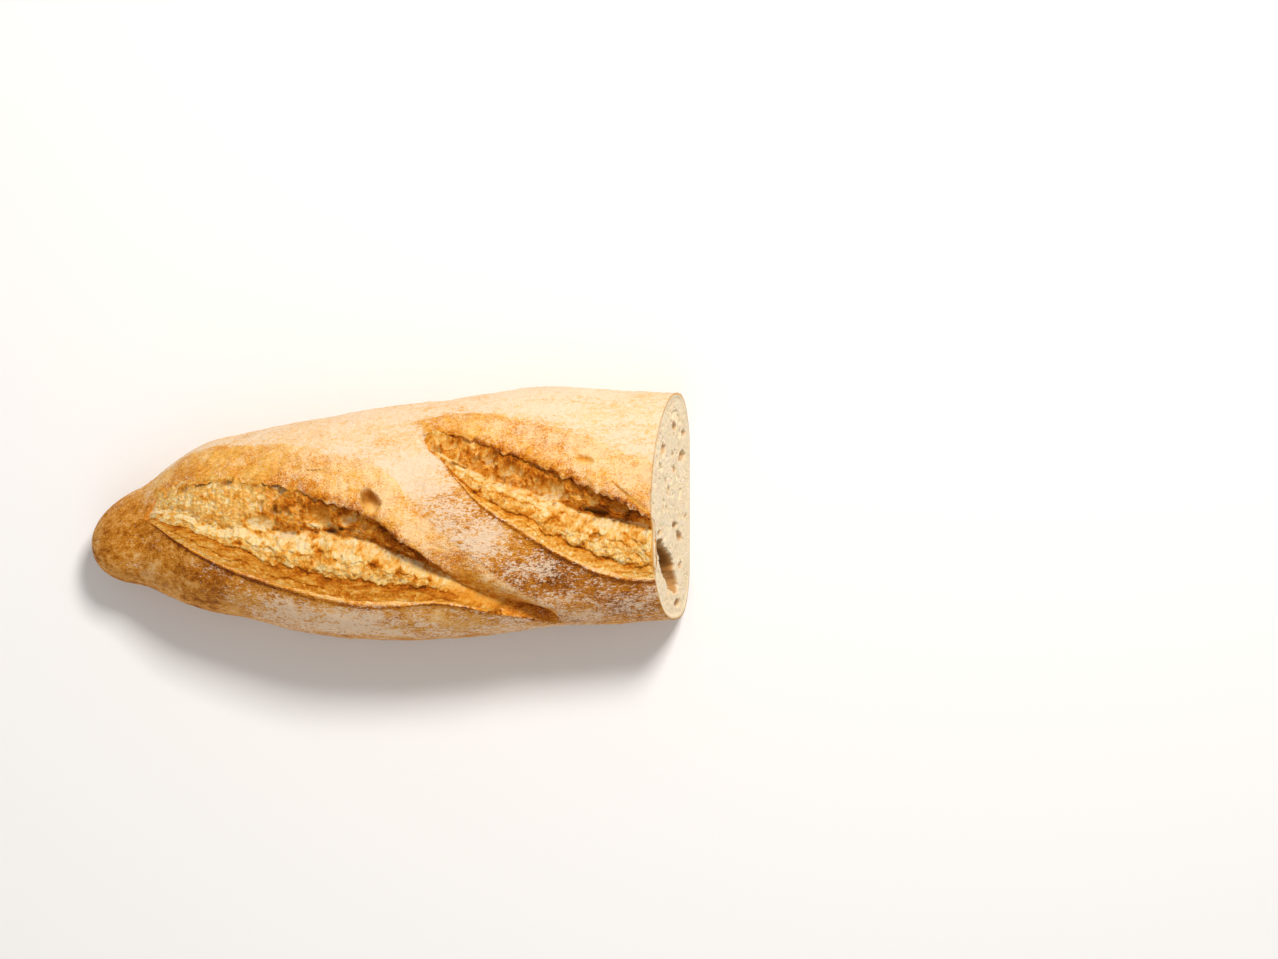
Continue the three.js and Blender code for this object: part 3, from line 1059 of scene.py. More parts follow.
class CrumbGrain:
    """The lumps, strings and bubbles that torn crumb is made of, laid out like the points it is made for."""

    WARPS: ClassVar[tuple[float, ...]] = (0.0, 31.0, 57.0)

    def __init__(self, noise: Noise, x: Array, angle: Array) -> None:
        """Work them out.

        Args:
            noise: Makes them uneven.
            x: Places along the loaf.
            angle: Degrees round the section.
        """
        self.noise, self.shape = noise, x.shape
        self.flat = np.stack([x.ravel(), MM_PER_DEGREE * angle.ravel(), np.zeros(x.size)], axis=1)
        flat = self.flat
        warp = np.stack([noise.layered(flat + shift, 5.0, 2) for shift in self.WARPS], axis=1)
        warped = flat + 1.3 * warp
        self.lumps = self.laid(noise.layered(warped, 4.6, 2))
        self.grain = self.laid(noise.layered(flat + 0.4 * warp, 1.1, 2, 0.9))
        self.nodules = self.laid(noise.mounds(warped + 23, 2.3)) - 0.5
        self.beads = self.laid(noise.mounds(flat + 0.5 * warp + 29, 1.15)) - 0.5
        self.strings = self.laid(noise.ridges(warped * [1, 0.45, 1] + 9, 2.2))
        self.striae = self.laid(noise.smooth(flat * [1, 0.12, 1] + 19, 1.3))
        self.large = self._foam(warped * [1, 0.8, 1], 6.4, 0.25, 0.8)
        self.middle = self._foam(warped + 41, 2.7, 0.1, 0.9)
        self.small = self._foam(flat + 0.5 * warp + 83, 1.3, 0.3, 0.9)
        self.pits = self.laid(noise.bubbles(flat + 0.3 * warp + 97, 1.9, 0.4, 0.5))

    def laid(self, values: Array) -> Array:
        """One value for each point, in the points' own layout."""
        return values.reshape(self.shape)

    def layers(self, stretch: Sequence[float], shift: float, *settings: float) -> Array:
        """Layered noise over stretched and shifted points."""
        return self.laid(self.noise.layered(self.flat * stretch + shift, *settings))

    def _foam(self, points: Array, length: float, low: float, high: float) -> Array:
        """Bowls with thin walls, shallow where their rank is low and full where it is high."""
        bowls, rank = self.noise.foam(points, length)
        return self.laid(bowls * smoothstep(rank, low, high))


@dataclass
class TornCrumb:
    """The crumb torn open between the lip and the ear of a slash."""

    name: str
    shape: LoafShape
    slash: Slash
    start_x: float
    end_x: float
    caves: Sequence[Cave]
    toasted: Sequence[Patch]
    torn_from: tuple[float, float]
    seed: int
    band_toast: float = 0.57
    columns: int = 600
    low_rows: int = 84
    wall_rows: int = 64
    back_rows: int = 4
    back_depth: float = 5.0
    sunk: float = 2.5
    thin_for: float = 9.0

    # Share of the depth along the way from the lip (0) over the ledge (1) and the crack (2) to the ear (3).
    PROFILE: ClassVar[Curve] = Curve(
        (-0.1, -0.3), (0.06, -0.06), (0.4, -0.11), (0.8, -0.16), (0.97, -0.2), (1.06, -0.16), (1.3, -0.16),
        (1.6, -0.3), (1.85, -0.6), (2.0, -0.76), (2.1, -0.7), (2.3, -0.46), (2.6, -0.27), (2.9, -0.1),
        (3.06, -0.03),
    )
    TROUGH: ClassVar[Curve] = Curve(
        (0.0, -0.06), (0.6, -0.2), (1.4, -0.55), (2.0, -0.78), (2.5, -0.7), (3.0, -0.57), (3.3, -0.5)
    )
    # Torn steps along the slash: where on the way, and how high.
    STEPS: ClassVar[Sequence[tuple[float, float]]] = ((0.45, 0.25), (1.5, 0.45))
    # Places across the slash where the torn crumb starts, where its crack is and where it ends under the ear.
    ACROSS: ClassVar[tuple[float, float, float]] = (-0.02, 1.0, 2.24)

    def _way(self, x: Array, place: Array) -> Array:
        """The way across the torn crumb, with the ledge at 1, the crack at 2 and the ear at 3."""
        ledge = self.slash.ledge(x)
        past = 1 + (place - ledge) / (1 - ledge)
        return np.where(place < ledge, place / ledge, np.where(place < 1, past, place + 1))

    def _relief(self, x: Array, place: Array, angle: Array) -> tuple[Array, Array, Array, Array]:
        """Relief, toast, painted shade in hollows, and smoothness of the torn crumb.

        Args:
            x: Places along the loaf.
            place: Places across the slash.
            angle: Degrees round the section.

        Returns:
            Millimetres outwards, then toast, painted shade in hollows and smoothness, from 0 to 1.
        """
        slash, noise = self.slash, Noise(self.seed)
        bits = CrumbGrain(noise, x, angle)
        lumps, grain, beads, strings = bits.lumps, bits.grain, bits.beads, bits.strings

        # Where the parts of the slash lie.
        depth = slash.depth(x)
        along = np.stack([x.ravel(), 0.35 * bits.flat[:, 1], 0 * x.ravel()], axis=1)
        wander = 0.09 * bits.laid(noise.layered(along, 11.0, 4, 0.62))
        free = smoothstep(place, 0, 0.2) * (1 - smoothstep(place, 1.6, 1.9))
        way = self._way(x, place + wander * free)
        span = np.maximum(slash.crack(x) - slash.lip(x), 4) * MM_PER_DEGREE
        torn = smoothstep(x, *self.torn_from)
        trough = smoothstep(x, *slash.trough)
        wall = smoothstep(way, 1.95, 2.1)
        band = 1 - smoothstep(way, 0.92, 1.05)
        crumb = (1 - wall) * (1 - band)
        deep = smoothstep(depth, 3.0, 7.5) * torn

        # The main form, its torn steps and its toasted edges.
        relief = depth * (self.PROFILE(way + 0.03 * lumps) * (1 - trough) + self.TROUGH(way) * trough)
        toast = (0.34 - 0.2 * smoothstep(way, 1.1, 1.8)) * crumb + self.band_toast * band
        toast += (0.22 + 0.13 * deep) * wall - 0.1 * (1 - torn)
        toast += 0.14 * smoothstep(slash.ear_rise(x), 0.4, 1.0) * smoothstep(way, 2.65, 3.0)
        # Painted shade on the wall below the ear, where the ear overhangs it.
        toast += wall * 0.34 * smoothstep(x, *slash.wall_shade)
        for at, rise in self.STEPS:
            away = (way - at) * span * 0.5 + 0.5 * lumps + 0.25 * grain
            drawn = bits.flat * [1, 0.3, 1] + 200 * at
            broken = smoothstep(bits.laid(noise.smooth(drawn, 10.0)), -0.3, 0.15)
            relief += rise * broken * np.where(away > 0, np.exp(-away / 1.6), 0.9 * np.exp(away / 0.3))
            toast += 0.24 * broken * bell(away + 0.2, 0.4)
        ledge = (way - 1) * span * 0.5 + 0.5 * lumps + 0.3 * grain
        toast += 0.34 * bell(ledge + 0.1, 0.5) + 0.14 * bell(ledge + 1.4, 1.0)

        # Caves, with painted shade in them and in the pits, most along the crack, and toast darker on each
        # cave's upper side and paler on its lower side, as the light falls.
        rough = np.ones(x.shape)
        hollow = bits.pits * (0.3 + 0.6 * bell(way - 2.0, 0.12)) * (1 - band)
        for cave in self.caves:
            sunk, away, upward = cave.open(x, angle, noise)
            inside = 1 - smoothstep(away, 0.78, 1.08)
            relief -= sunk - 0.25 * bell(away - 1.12, 0.14)
            rough *= 1 - 0.92 * inside
            hollow = np.maximum(hollow, cave.dark * inside)
            toast += 0.2 * bell(away - 1.18, 0.16) + inside * (0.28 * upward - 0.14)

        # Fluff on the crumb, sponge on the wall, and strings over both.
        fluff = 1.1 * lumps + 0.55 * bits.nodules + 0.6 * beads - 0.8 * bits.pits
        sponge = 2.8 * bits.large * deep + 1.5 * bits.middle * (0.4 + 0.6 * deep) + 0.6 * bits.small
        sponge = sponge - 0.45 * lumps - 0.3 * beads
        striae = (0.12 + 0.2 * (1 - torn)) * bits.striae * (1 - band)
        rough *= 1 - 0.75 * trough
        crusty = 0.2 * lumps + 0.15 * beads
        relief += rough * (crumb * (0.45 + 0.55 * torn) * fluff - wall * sponge + band * crusty)
        relief += rough * (0.3 * grain * (1 - 0.6 * band) + (0.14 + 0.3 * wall) * strings + striae)

        # Toast that follows them, with painted light and shade, and blotches of its own.
        rough_tone = 1 - 0.8 * trough
        tone = bits.layers([1, 1, 1], 260, 4.5, 4, 0.8)
        streaks = bits.layers([0.22, 1, 1], 340, 1.8, 3, 0.8)
        spots = bits.layers([1, 1, 1], 300, 6.0, 3, 0.7)
        # On the crumb, the nodules' tops get paler and the creases between them darker: painted light and
        # shade.
        toast += rough * (0.1 * strings * wall - 0.16 * bits.large * wall * deep - 0.2 * crumb * bits.nodules)
        # Painted highlights: cream glints on the beads near the lip, and a paler line along the lip itself.
        toast -= 0.3 * smoothstep(beads, 0.1, 0.4) * bell(way - 0.35, 0.2)
        toast -= (0.2 + 0.3 * beads) * bell(way, 0.14)
        toast += (0.45 - 0.04 * smoothstep(way, 2.0, 3.4) + 0.08 * lumps - toast) * 0.85 * trough
        toast += 0.2 * band * streaks
        speckled = wall * (0.22 - 0.36 * bits.middle - 0.2 * bits.small)
        toast += 0.07 * grain + rough_tone * (0.17 * crumb + 0.1) * tone + speckled
        toast += sum(patch.share(x, angle) for patch in self.toasted)
        toast += 0.32 * rough_tone * (crumb + 0.6 * wall) * smoothstep(spots, 0.2, 0.9)

        # Calm by the cut, and out of sight under the ear.
        calm = 1 - 0.6 * smoothstep(x, 98.0, 109.0)
        relief = relief * calm + depth * self.PROFILE(way) * (1 - calm)
        cover = 1 - smoothstep(slash.ear_rise(x), 0.25, 0.8)
        relief += (1 - trough) * cover * smoothstep(place, 1.8, 2.0) * (0.45 + 0.04 * depth)
        relief -= smoothstep(place, 2.06, self.ACROSS[-1]) * (1.6 + 0.3 * depth)
        return relief, np.clip(toast, 0, 1), hollow, np.maximum(1 - rough, 0.45 * band)

    def points(self) -> tuple[Array, dict[Trace, Array]]:
        """Work out the torn crumb with a plain back that closes it.

        Returns:
            Its points and its traces.
        """
        first, crack, last = self.ACROSS
        feet = np.linspace(self.start_x, self.end_x, self.columns)
        low = np.linspace(first, crack, self.low_rows)
        front = np.concatenate([low, np.linspace(crack, last, self.wall_rows)[1:]])
        back = np.linspace(front[-1], front[0], self.back_rows + 2)[1:-1]
        every = np.concatenate([front, back, front[:1]])
        on_front = np.ones(len(every), dtype=bool)
        on_front[len(front) : -1] = False

        def angles(x: Array) -> Array:
            """Degrees round the section of every line."""
            return self.slash.angle(x, every)

        count = len(every)
        _, x, angle = self.shape.rings(feet, count, angles, lambda x, _: np.zeros(x.shape))
        relief, toast, hollow, smooth = self._relief(x, np.broadcast_to(every, x.shape), angle)
        bed = smoothstep(x, *self.slash.bed)
        opening = self.slash.opening(x, angle) * (1 - bed)
        thin = smoothstep(feet, self.shape.cut_x - self.thin_for, self.shape.cut_x)[:, None]
        floor = -(1.6 - 0.7 * thin) * self.slash.depth(x) - self.back_depth * (1 - 0.92 * thin)
        sunk = self.sunk + bed * self.slash.depth(x)
        relief = np.where(on_front, opening * relief - (1 - opening) * sunk, floor - bed)
        points, _, _ = self.shape.rings(feet, count, angles, lambda x, _: relief)
        return points, {Trace.TOAST: toast, Trace.HOLLOW: hollow, Trace.SMOOTH: smooth}

    def build(self, fit: Fit, material: bpy.types.Material) -> bpy.types.Object:
        """Make the torn crumb as one closed body.

        Args:
            fit: Brings it into the frame.
            material: Its finish.

        Returns:
            The piece.
        """
        points, traces = self.points()
        made = grid_mesh(self.name, points, traces, fit, closed=True)
        rims = [edge for edge in made.edges if edge.is_boundary]
        bmesh.ops.holes_fill(made, edges=rims, sides=0)
        return finish_piece(made, self.name, material)


@dataclass(frozen=True)
class Hole:
    """A bubble that the knife opened.

    Its middle on the cut, half its width and height, its depth, the degrees that it is turned by and how dark
    it is inside, from 0 to 1: its own tan wall first, then painted shade.
    """

    y: float
    z: float
    wide: float
    high: float
    depth: float
    turn: float = 0.0
    dark: float = 0.5


# The cavity, its two lobes, and the larger bubbles.
CUT_HOLES = each(
    Hole,
    (-17.8, 32.5, 5.4, 11.5, 10.5, -14, 1.1), (-23.4, 26.0, 5.0, 10.5, 7.0, -24, 0.75),
    (-12.4, 41.0, 4.2, 7.0, 4.6, -20, 0.75), (-10.6, 45.0, 1.2, 2.4, 4.5, -20),
    (-32.5, 17.0, 1.6, 4.2, 4.0), (22.0, 10.5, 2.0, 5.2, 3.5, 10), (31.0, 7.5, 1.4, 3.0, 2.5),
    (-3.9, 21.0, 1.6, 4.2, 3.0), (-7.6, 14.4, 2.0, 4.4, 2.8, -10), (-5.8, 44.0, 1.3, 3.0, 1.8),
    (-0.3, 5.8, 1.0, 2.6, 3.0), (24.0, 38.0, 3.0, 3.4, 2.6, 30), (-18.6, 13.0, 1.3, 2.4, 2.2),
    (9.0, 31.0, 2.6, 1.8, 2.0, 20), (17.0, 22.0, 1.7, 2.4, 2.0), (3.0, 38.0, 1.8, 1.2, 1.6),
    (33.0, 22.0, 1.6, 3.6, 2.2, -10),
)


@dataclass
class CutFace:
    """The crumb that the knife opened, inside its ring of crust."""

    shape: LoafShape
    side: int = 300
    crust_thickness: float = 1.2
    middle_y: float = 3.6
    middle_z: float = 25.0
    noise: Noise = Noise(CUT_SEED)

    # Share of the far slash's depth that the cut's outline follows from place to place.
    OUTLINE: ClassVar[Sequence[tuple[float, float]]] = (
        (-0.2, 0.0), (-0.06, 0.07), (-0.02, 0.1), (0.04, 0.0), (0.06, -0.36), (0.2, -0.42), (0.26, -0.24),
        (0.7, -0.55), (1.0, -1.05), (1.45, -0.75), (1.9, -0.3), (1.97, 0.05), (2.05, 0.1), (2.4, 0.08),
        (3.06, 0.0),
    )
    OUTLINE_STEPS: ClassVar[int] = 1441
    INSIDE_SKIN: ClassVar[float] = 0.15
    # The slab behind the cut: millimetres back and share of the size.
    BEHIND: ClassVar[Sequence[tuple[float, float]]] = ((1.0, 0.97), (4.0, 0.9), (12.0, 0.78))

    def _outline(self) -> tuple[Array, Array]:
        """Follow the skin round the cut.

        Returns:
            The outline's points, and the turn of each of them about the middle.
        """
        angles = np.linspace(-90, 270, self.OUTLINE_STEPS)
        places, shares = np.array(self.OUTLINE).T
        slash = self.shape.far_slash

        def relief(x: Array, angle: Array) -> Array:
            """The torn slash's dip in the outline, and the crust's thickness."""
            return slash.depth(x) * np.interp(slash.place(x, angle), places, shares) - self.INSIDE_SKIN

        feet = np.array([self.shape.cut_x])
        points, _, _ = self.shape.rings(feet, len(angles), lambda x: np.broadcast_to(angles, x.shape), relief)
        ring = points[0]
        turns = np.mod(np.arctan2(ring[:, 2] - self.middle_z, ring[:, 1] - self.middle_y), 2 * math.pi)
        return ring, turns

    def _disc(self) -> tuple[Array, Array]:
        """Draw a square grid out to a disc.

        Returns:
            Each point's turn about the middle, and its share of the way to the rim.
        """
        steps = np.linspace(-1, 1, self.side + 1)
        u, v = np.meshgrid(steps, steps, indexing="ij")
        wide = np.abs(u) >= np.abs(v)
        with np.errstate(divide="ignore", invalid="ignore"):
            level = np.where(wide, v / np.where(u == 0, 1, u), 0)
            steep = np.where(wide, 0, u / np.where(v == 0, 1, v))
        quarter = math.pi / 4
        sideways = np.where(u >= 0, 0.0, 4 * quarter) + quarter * level
        upright = np.where(v >= 0, 2 * quarter, 6 * quarter) - quarter * steep
        turn = np.mod(np.where(wide, sideways, upright), 8 * quarter)
        return turn, np.maximum(np.abs(u), np.abs(v))

    def build(self, fit: Fit, material: bpy.types.Material) -> bpy.types.Object:
        """Make the cut face as a closed slab with the knife's plane in front.

        Args:
            fit: Brings it into the frame.
            material: Its finish.

        Returns:
            The piece.
        """
        turn, share = self._disc()
        ring, turns = self._outline()
        order = np.argsort(turns)
        edge_y = np.interp(turn, turns[order], ring[order, 1], period=2 * math.pi)
        edge_z = np.interp(turn, turns[order], ring[order, 2], period=2 * math.pi)
        y = self.middle_y + share * (edge_y - self.middle_y)
        z = self.middle_z + share * (edge_z - self.middle_z)
        points = np.stack([self.shape.cut_x - self.shape.cut_lean * z, y, z], axis=-1)
        to_edge = (1 - share) * np.hypot(edge_y - self.middle_y, edge_z - self.middle_z)
        depth, hollow = self._holes(points, to_edge)
        inward = np.array([-1.0, 0.0, -self.shape.cut_lean])
        points = points + depth[..., None] * inward / np.linalg.norm(inward)
        toast = 1 - smoothstep(to_edge, 0.2, self.crust_thickness)
        traces = {Trace.TOAST: toast, Trace.HOLLOW: hollow}
        made = grid_mesh("cut_crumb", points, traces, fit)
        close_behind(made, self.BEHIND)
        return finish_piece(made, "cut_crumb", material)

    def _holes(self, points: Array, to_edge: Array) -> tuple[Array, Array]:
        """Open the crumb's holes.

        Args:
            points: Points on the knife's plane.
            to_edge: Millimetres from each point to the rim.

        Returns:
            How deep the crumb is open at each point, and how far it shows a hole's tan wall and the painted
            shade deeper in, from 0 to 1.
        """
        shape = to_edge.shape
        noise = self.noise
        flat = points.reshape(-1, 3) * [0, 1, 1]
        warp = np.stack([noise.layered(flat + shift, 6.0, 3) for shift in (0.0, 31.0, 57.0)], axis=1)
        warped = (flat + 1.5 * warp) * [1, 1, 1.2]
        y = points[..., 1] + 0.9 * warp[:, 0].reshape(shape)
        z = points[..., 2] + 0.9 * warp[:, 1].reshape(shape)
        open_to = np.zeros(shape)
        seen = np.zeros(shape)
        for hole in CUT_HOLES:
            across, up = turned(y - hole.y, z - hole.z, hole.turn)
            away = np.hypot(across / hole.wide, up / hole.high)
            open_to = np.maximum(open_to, hole.depth * np.sqrt(np.clip(1 - away**2, 0, None)))
            seen = np.maximum(seen, hole.dark * (1 - smoothstep(away, 0.97, 1.04)) * (1.1 - 0.35 * away))
        dense = smoothstep(to_edge, 2.0, 9.0)
        middle = noise.bubbles(warped + 40, 5.2, 0.4, 0.42).reshape(shape) * dense
        small = noise.bubbles(warped + 80, 2.5, 0.7, 0.5).reshape(shape) * (0.35 + 0.65 * dense)
        fine = noise.bubbles(flat + 120, 1.1, 0.75, 0.55).reshape(shape)
        inside = smoothstep(to_edge, 0.9, 2.2)
        depth = np.maximum(open_to, 1.8 * middle) + inside * (small + 0.45 * fine)
        rough = 0.14 * noise.layered(flat + 160, 1.7, 2).reshape(shape)
        swell = 0.35 * noise.smooth(flat + 200, 12.0).reshape(shape)
        by_slash = smoothstep(points[..., 2], 42.0, 46.0) * (1 - smoothstep(points[..., 1], -1.0, 5.0))
        room = 0.3 + 0.6 * np.maximum(to_edge - 3.0 * by_slash, 0)
        depth = np.minimum(depth + inside * (rough + swell + 0.3), room)
        hollow = np.maximum(0.6 * smoothstep(depth, 0.9, 5.0), seen * smoothstep(depth, 0.1, 0.8))
        return depth, np.clip(hollow, 0, 1)


class NodeBench:
    """Lays out the nodes of one material or group."""

    def __init__(self, tree: bpy.types.NodeTree) -> None:
        """Keep the tree."""
        self.tree = tree

    def add(self, kind: str, **settings: object) -> bpy.types.Node:
        """Add a node.

        Args:
            kind: The node's type.
            settings: Its properties, by name.

        Returns:
            The node.
        """
        node = self.tree.nodes.new(kind)
        for key, value in settings.items():
            setattr(node, key, value)
        return node

    def put(self, value: object, target: bpy.types.NodeSocket) -> None:
        """Join an output to an input, or set the input to a constant.

        Args:
            value: The output or the constant.
            target: The input.
        """
        if isinstance(value, bpy.types.NodeSocket):
            self.tree.links.new(value, target)
        else:
            target.default_value = value

    def noise(
        self, vector: bpy.types.NodeSocket, scale: object, detail: float = 3.0, rough: float = 0.65
    ) -> bpy.types.NodeSocket:
        """Soft noise.

        Args:
            vector: Where.
            scale: Swells to a metre.
            detail: How many finer layers lie on them.
            rough: How strong each finer layer is.

        Returns:
            A value between 0 and 1.
        """
        node = self.add("ShaderNodeTexNoise")
        for name, value in (("Vector", vector), ("Scale", scale), ("Detail", detail), ("Roughness", rough)):
            self.put(value, node.inputs[name])
        return node.outputs["Fac"]

    def math(self, operation: str, *values: object) -> bpy.types.NodeSocket:
        """One sum, product or other operation.

        Args:
            operation: What is done.
            values: What it is done to.

        Returns:
            The result.
        """
        node = self.add("ShaderNodeMath", operation=operation)
        for value, target in zip(values, node.inputs):
            self.put(value, target)
        return node.outputs[0]

    def sway(self, value: object, noise: object, strength: object) -> bpy.types.NodeSocket:
        """Add a noise, centred on nothing, to a value."""
        centred = self.math("SUBTRACT", noise, 0.5)
        return self.math("ADD", value, self.math("MULTIPLY", centred, strength))

    def ease(self, value: object, low: object, high: object) -> bpy.types.NodeSocket:
        """Ease a value.

        Args:
            value: The value.
            low: Where the result leaves 0.
            high: Where it reaches 1.

        Returns:
            The eased value.
        """
        node = self.add("ShaderNodeMapRange", interpolation_type="SMOOTHSTEP")
        for name, limit in (("Value", value), ("From Min", low), ("From Max", high)):
            self.put(limit, node.inputs[name])
        return node.outputs["Result"]

    def ramp(self, value: bpy.types.NodeSocket, stops: Stops) -> bpy.types.NodeSocket:
        """Turn values into colours.

        Args:
            value: The value.
            stops: Pairs of a value and its colour.

        Returns:
            The colour.
        """
        node = self.add("ShaderNodeValToRGB")
        elements = node.color_ramp.elements
        while len(elements) < len(stops):
            elements.new(0.5)
        for element, (place, colour) in zip(elements, stops):
            element.position = place
            element.color = colour
        self.put(value, node.inputs["Fac"])
        return node.outputs["Color"]

    def mix(self, share: object, first: object, second: object) -> bpy.types.NodeSocket:
        """Mix two colours.

        Args:
            share: How much of the second there is, from 0 to 1.
            first: The first colour.
            second: The second colour.

        Returns:
            The mixed colour.
        """
        node = self.add("ShaderNodeMix", data_type="RGBA")
        for value, at in ((share, 0), (first, 6), (second, 7)):
            self.put(value, node.inputs[at])
        return node.outputs[2]

    def group(self, tree: bpy.types.NodeTree, **values: object) -> bpy.types.Node:
        """Place a group.

        Args:
            tree: The group.
            values: What goes into its inputs, which are named with _ for a space.

        Returns:
            The group's node.
        """
        node = self.add("ShaderNodeGroup", node_tree=tree)
        for key, value in values.items():
            self.put(value, node.inputs[key.replace("_", " ")])
        return node


def start_group(
    name: str, inputs: dict[str, tuple[str, object]], outputs: dict[str, str]
) -> bpy.types.NodeTree:
    """Start a shader node group.

    Args:
        name: The group's name.
        inputs: Kind and first value of each input, by name.
        outputs: Kind of each output, by name.

    Returns:
        The group's tree, with its sockets.
    """
    tree = bpy.data.node_groups.new(name, "ShaderNodeTree")
    for label, (kind, value) in inputs.items():
        socket = tree.interface.new_socket(label, in_out="INPUT", socket_type=kind)
        if value is not None:
            socket.default_value = value
    for label, kind in outputs.items():
        tree.interface.new_socket(label, in_out="OUTPUT", socket_type=kind)
    return tree


def flour_and_glint_group() -> bpy.types.NodeTree:
    """Flour that clings to a surface in patches, flecks and grains; the same mask lays the painted glints.

    Returns:
        A group that gives the share of the surface that is floured, and where it lays glints, the share that
        shows a painted glint.
    """
    inputs = {
        "Vector": ("NodeSocketVector", None),
        "Amount": ("NodeSocketFloat", 0.5),
        "Patch Scale": ("NodeSocketFloat", 90.0),
        "Fleck Scale": ("NodeSocketFloat", 620.0),
        "Grain Scale": ("NodeSocketFloat", 1700.0),
    }
    tree = start_group("flour_and_glint_flecks", inputs, {"Mask": "NodeSocketFloat"})
    bench = NodeBench(tree)
    given = bench.add("NodeGroupInput").outputs
    amount = given["Amount"]
    layers = (("Patch Scale", 5.0, 0.7, 1.7), ("Fleck Scale", 3.0, 0.75, 1.7), ("Grain Scale", 2.0, 0.8, 2.0))
    for scale, detail, rough, strength in layers:
        amount = bench.sway(amount, bench.noise(given["Vector"], given[scale], detail, rough), strength)
    bench.put(bench.ease(amount, 0.37, 0.75), bench.add("NodeGroupOutput").inputs["Mask"])
    return tree


def baked_group() -> bpy.types.NodeTree:
    """The uneven browning and the fine grain of anything baked.

    Returns:
        A group that gives toast with its mottling, and the height of the grain.
    """
    inputs = {
        "Vector": ("NodeSocketVector", None),
        "Toast": ("NodeSocketFloat", 0.5),
        "Blotch": ("NodeSocketFloat", 0.4),
        "Speckle": ("NodeSocketFloat", 0.5),
        "Grain Scale": ("NodeSocketFloat", 700.0),
    }
    tree = start_group("uneven_bake", inputs, {"Toast": "NodeSocketFloat", "Height": "NodeSocketFloat"})
    bench = NodeBench(tree)
    given = bench.add("NodeGroupInput").outputs
    blotches = bench.noise(given["Vector"], 110.0, 4.0)
    speckles = bench.noise(given["Vector"], given["Grain Scale"], 3.0, 0.75)
    grit = bench.noise(given["Vector"], bench.math("MULTIPLY", given["Grain Scale"], 2.7), 2.0, 0.8)
    toast = bench.sway(given["Toast"], blotches, given["Blotch"])
    toast = bench.sway(toast, speckles, given["Speckle"])
    toast = bench.sway(toast, grit, given["Speckle"])
    height = bench.math("ADD", bench.math("MULTIPLY", speckles, 0.65), bench.math("MULTIPLY", grit, 0.35))
    put = bench.add("NodeGroupOutput").inputs
    bench.put(toast, put["Toast"])
    bench.put(height, put["Height"])
    return tree


@dataclass(frozen=True)
class Finish:
    """What every bread finish shares: its name and node groups, how its shader shines, and its mottling."""

    name: str
    bake: bpy.types.NodeTree
    flour: bpy.types.NodeTree
    roughness: float = 0.7
    specular: float = 0.1
    relief: float = 0.0011
    translucency: float = 0.0
    glow_depth: float = 0.0014
    glow_reach: tuple[float, float, float] = (1.0, 0.6, 0.3)
    blotch: float = 0.6
    speckle: float = 0.5
    grain_scale: float = 900.0

    def bench(self) -> tuple[bpy.types.Material, NodeBench, bpy.types.Node, bpy.types.NodeSocket]:
        """Start the material with its shader.

        Returns:
            The material, its bench, its shader and the object's own coordinates.
        """
        material = bpy.data.materials.new(self.name)
        material.use_nodes = True
        material.node_tree.nodes.clear()
        bench = NodeBench(material.node_tree)
        shader = bench.add("ShaderNodeBsdfPrincipled")
        bench.put(shader.outputs["BSDF"], bench.add("ShaderNodeOutputMaterial").inputs["Surface"])
        for name, value in (
            ("Roughness", self.roughness),
            ("Specular IOR Level", self.specular),
            ("Subsurface Weight", self.translucency),
            ("Subsurface Scale", self.glow_depth),
            ("Subsurface Radius", self.glow_reach),
        ):
            shader.inputs[name].default_value = value
        return material, bench, shader, bench.add("ShaderNodeTexCoord").outputs["Object"]

    def raise_grain(self, bench: NodeBench, shader: bpy.types.Node, height: bpy.types.NodeSocket) -> None:
        """Lift the surface by its grain.

        Args:
            bench: The material's bench.
            shader: Its shader.
            height: Height of the grain, from 0 to 1.
        """
        node = bench.add("ShaderNodeBump")
        node.inputs["Strength"].default_value = 1.0
        node.inputs["Distance"].default_value = self.relief
        bench.put(height, node.inputs["Height"])
        bench.put(node.outputs["Normal"], shader.inputs["Normal"])

    @staticmethod
    def trace(bench: NodeBench, trace: Trace) -> bpy.types.NodeSocket:
        """A vertex attribute's value."""
        return bench.add("ShaderNodeAttribute", attribute_name=trace.value).outputs["Fac"]


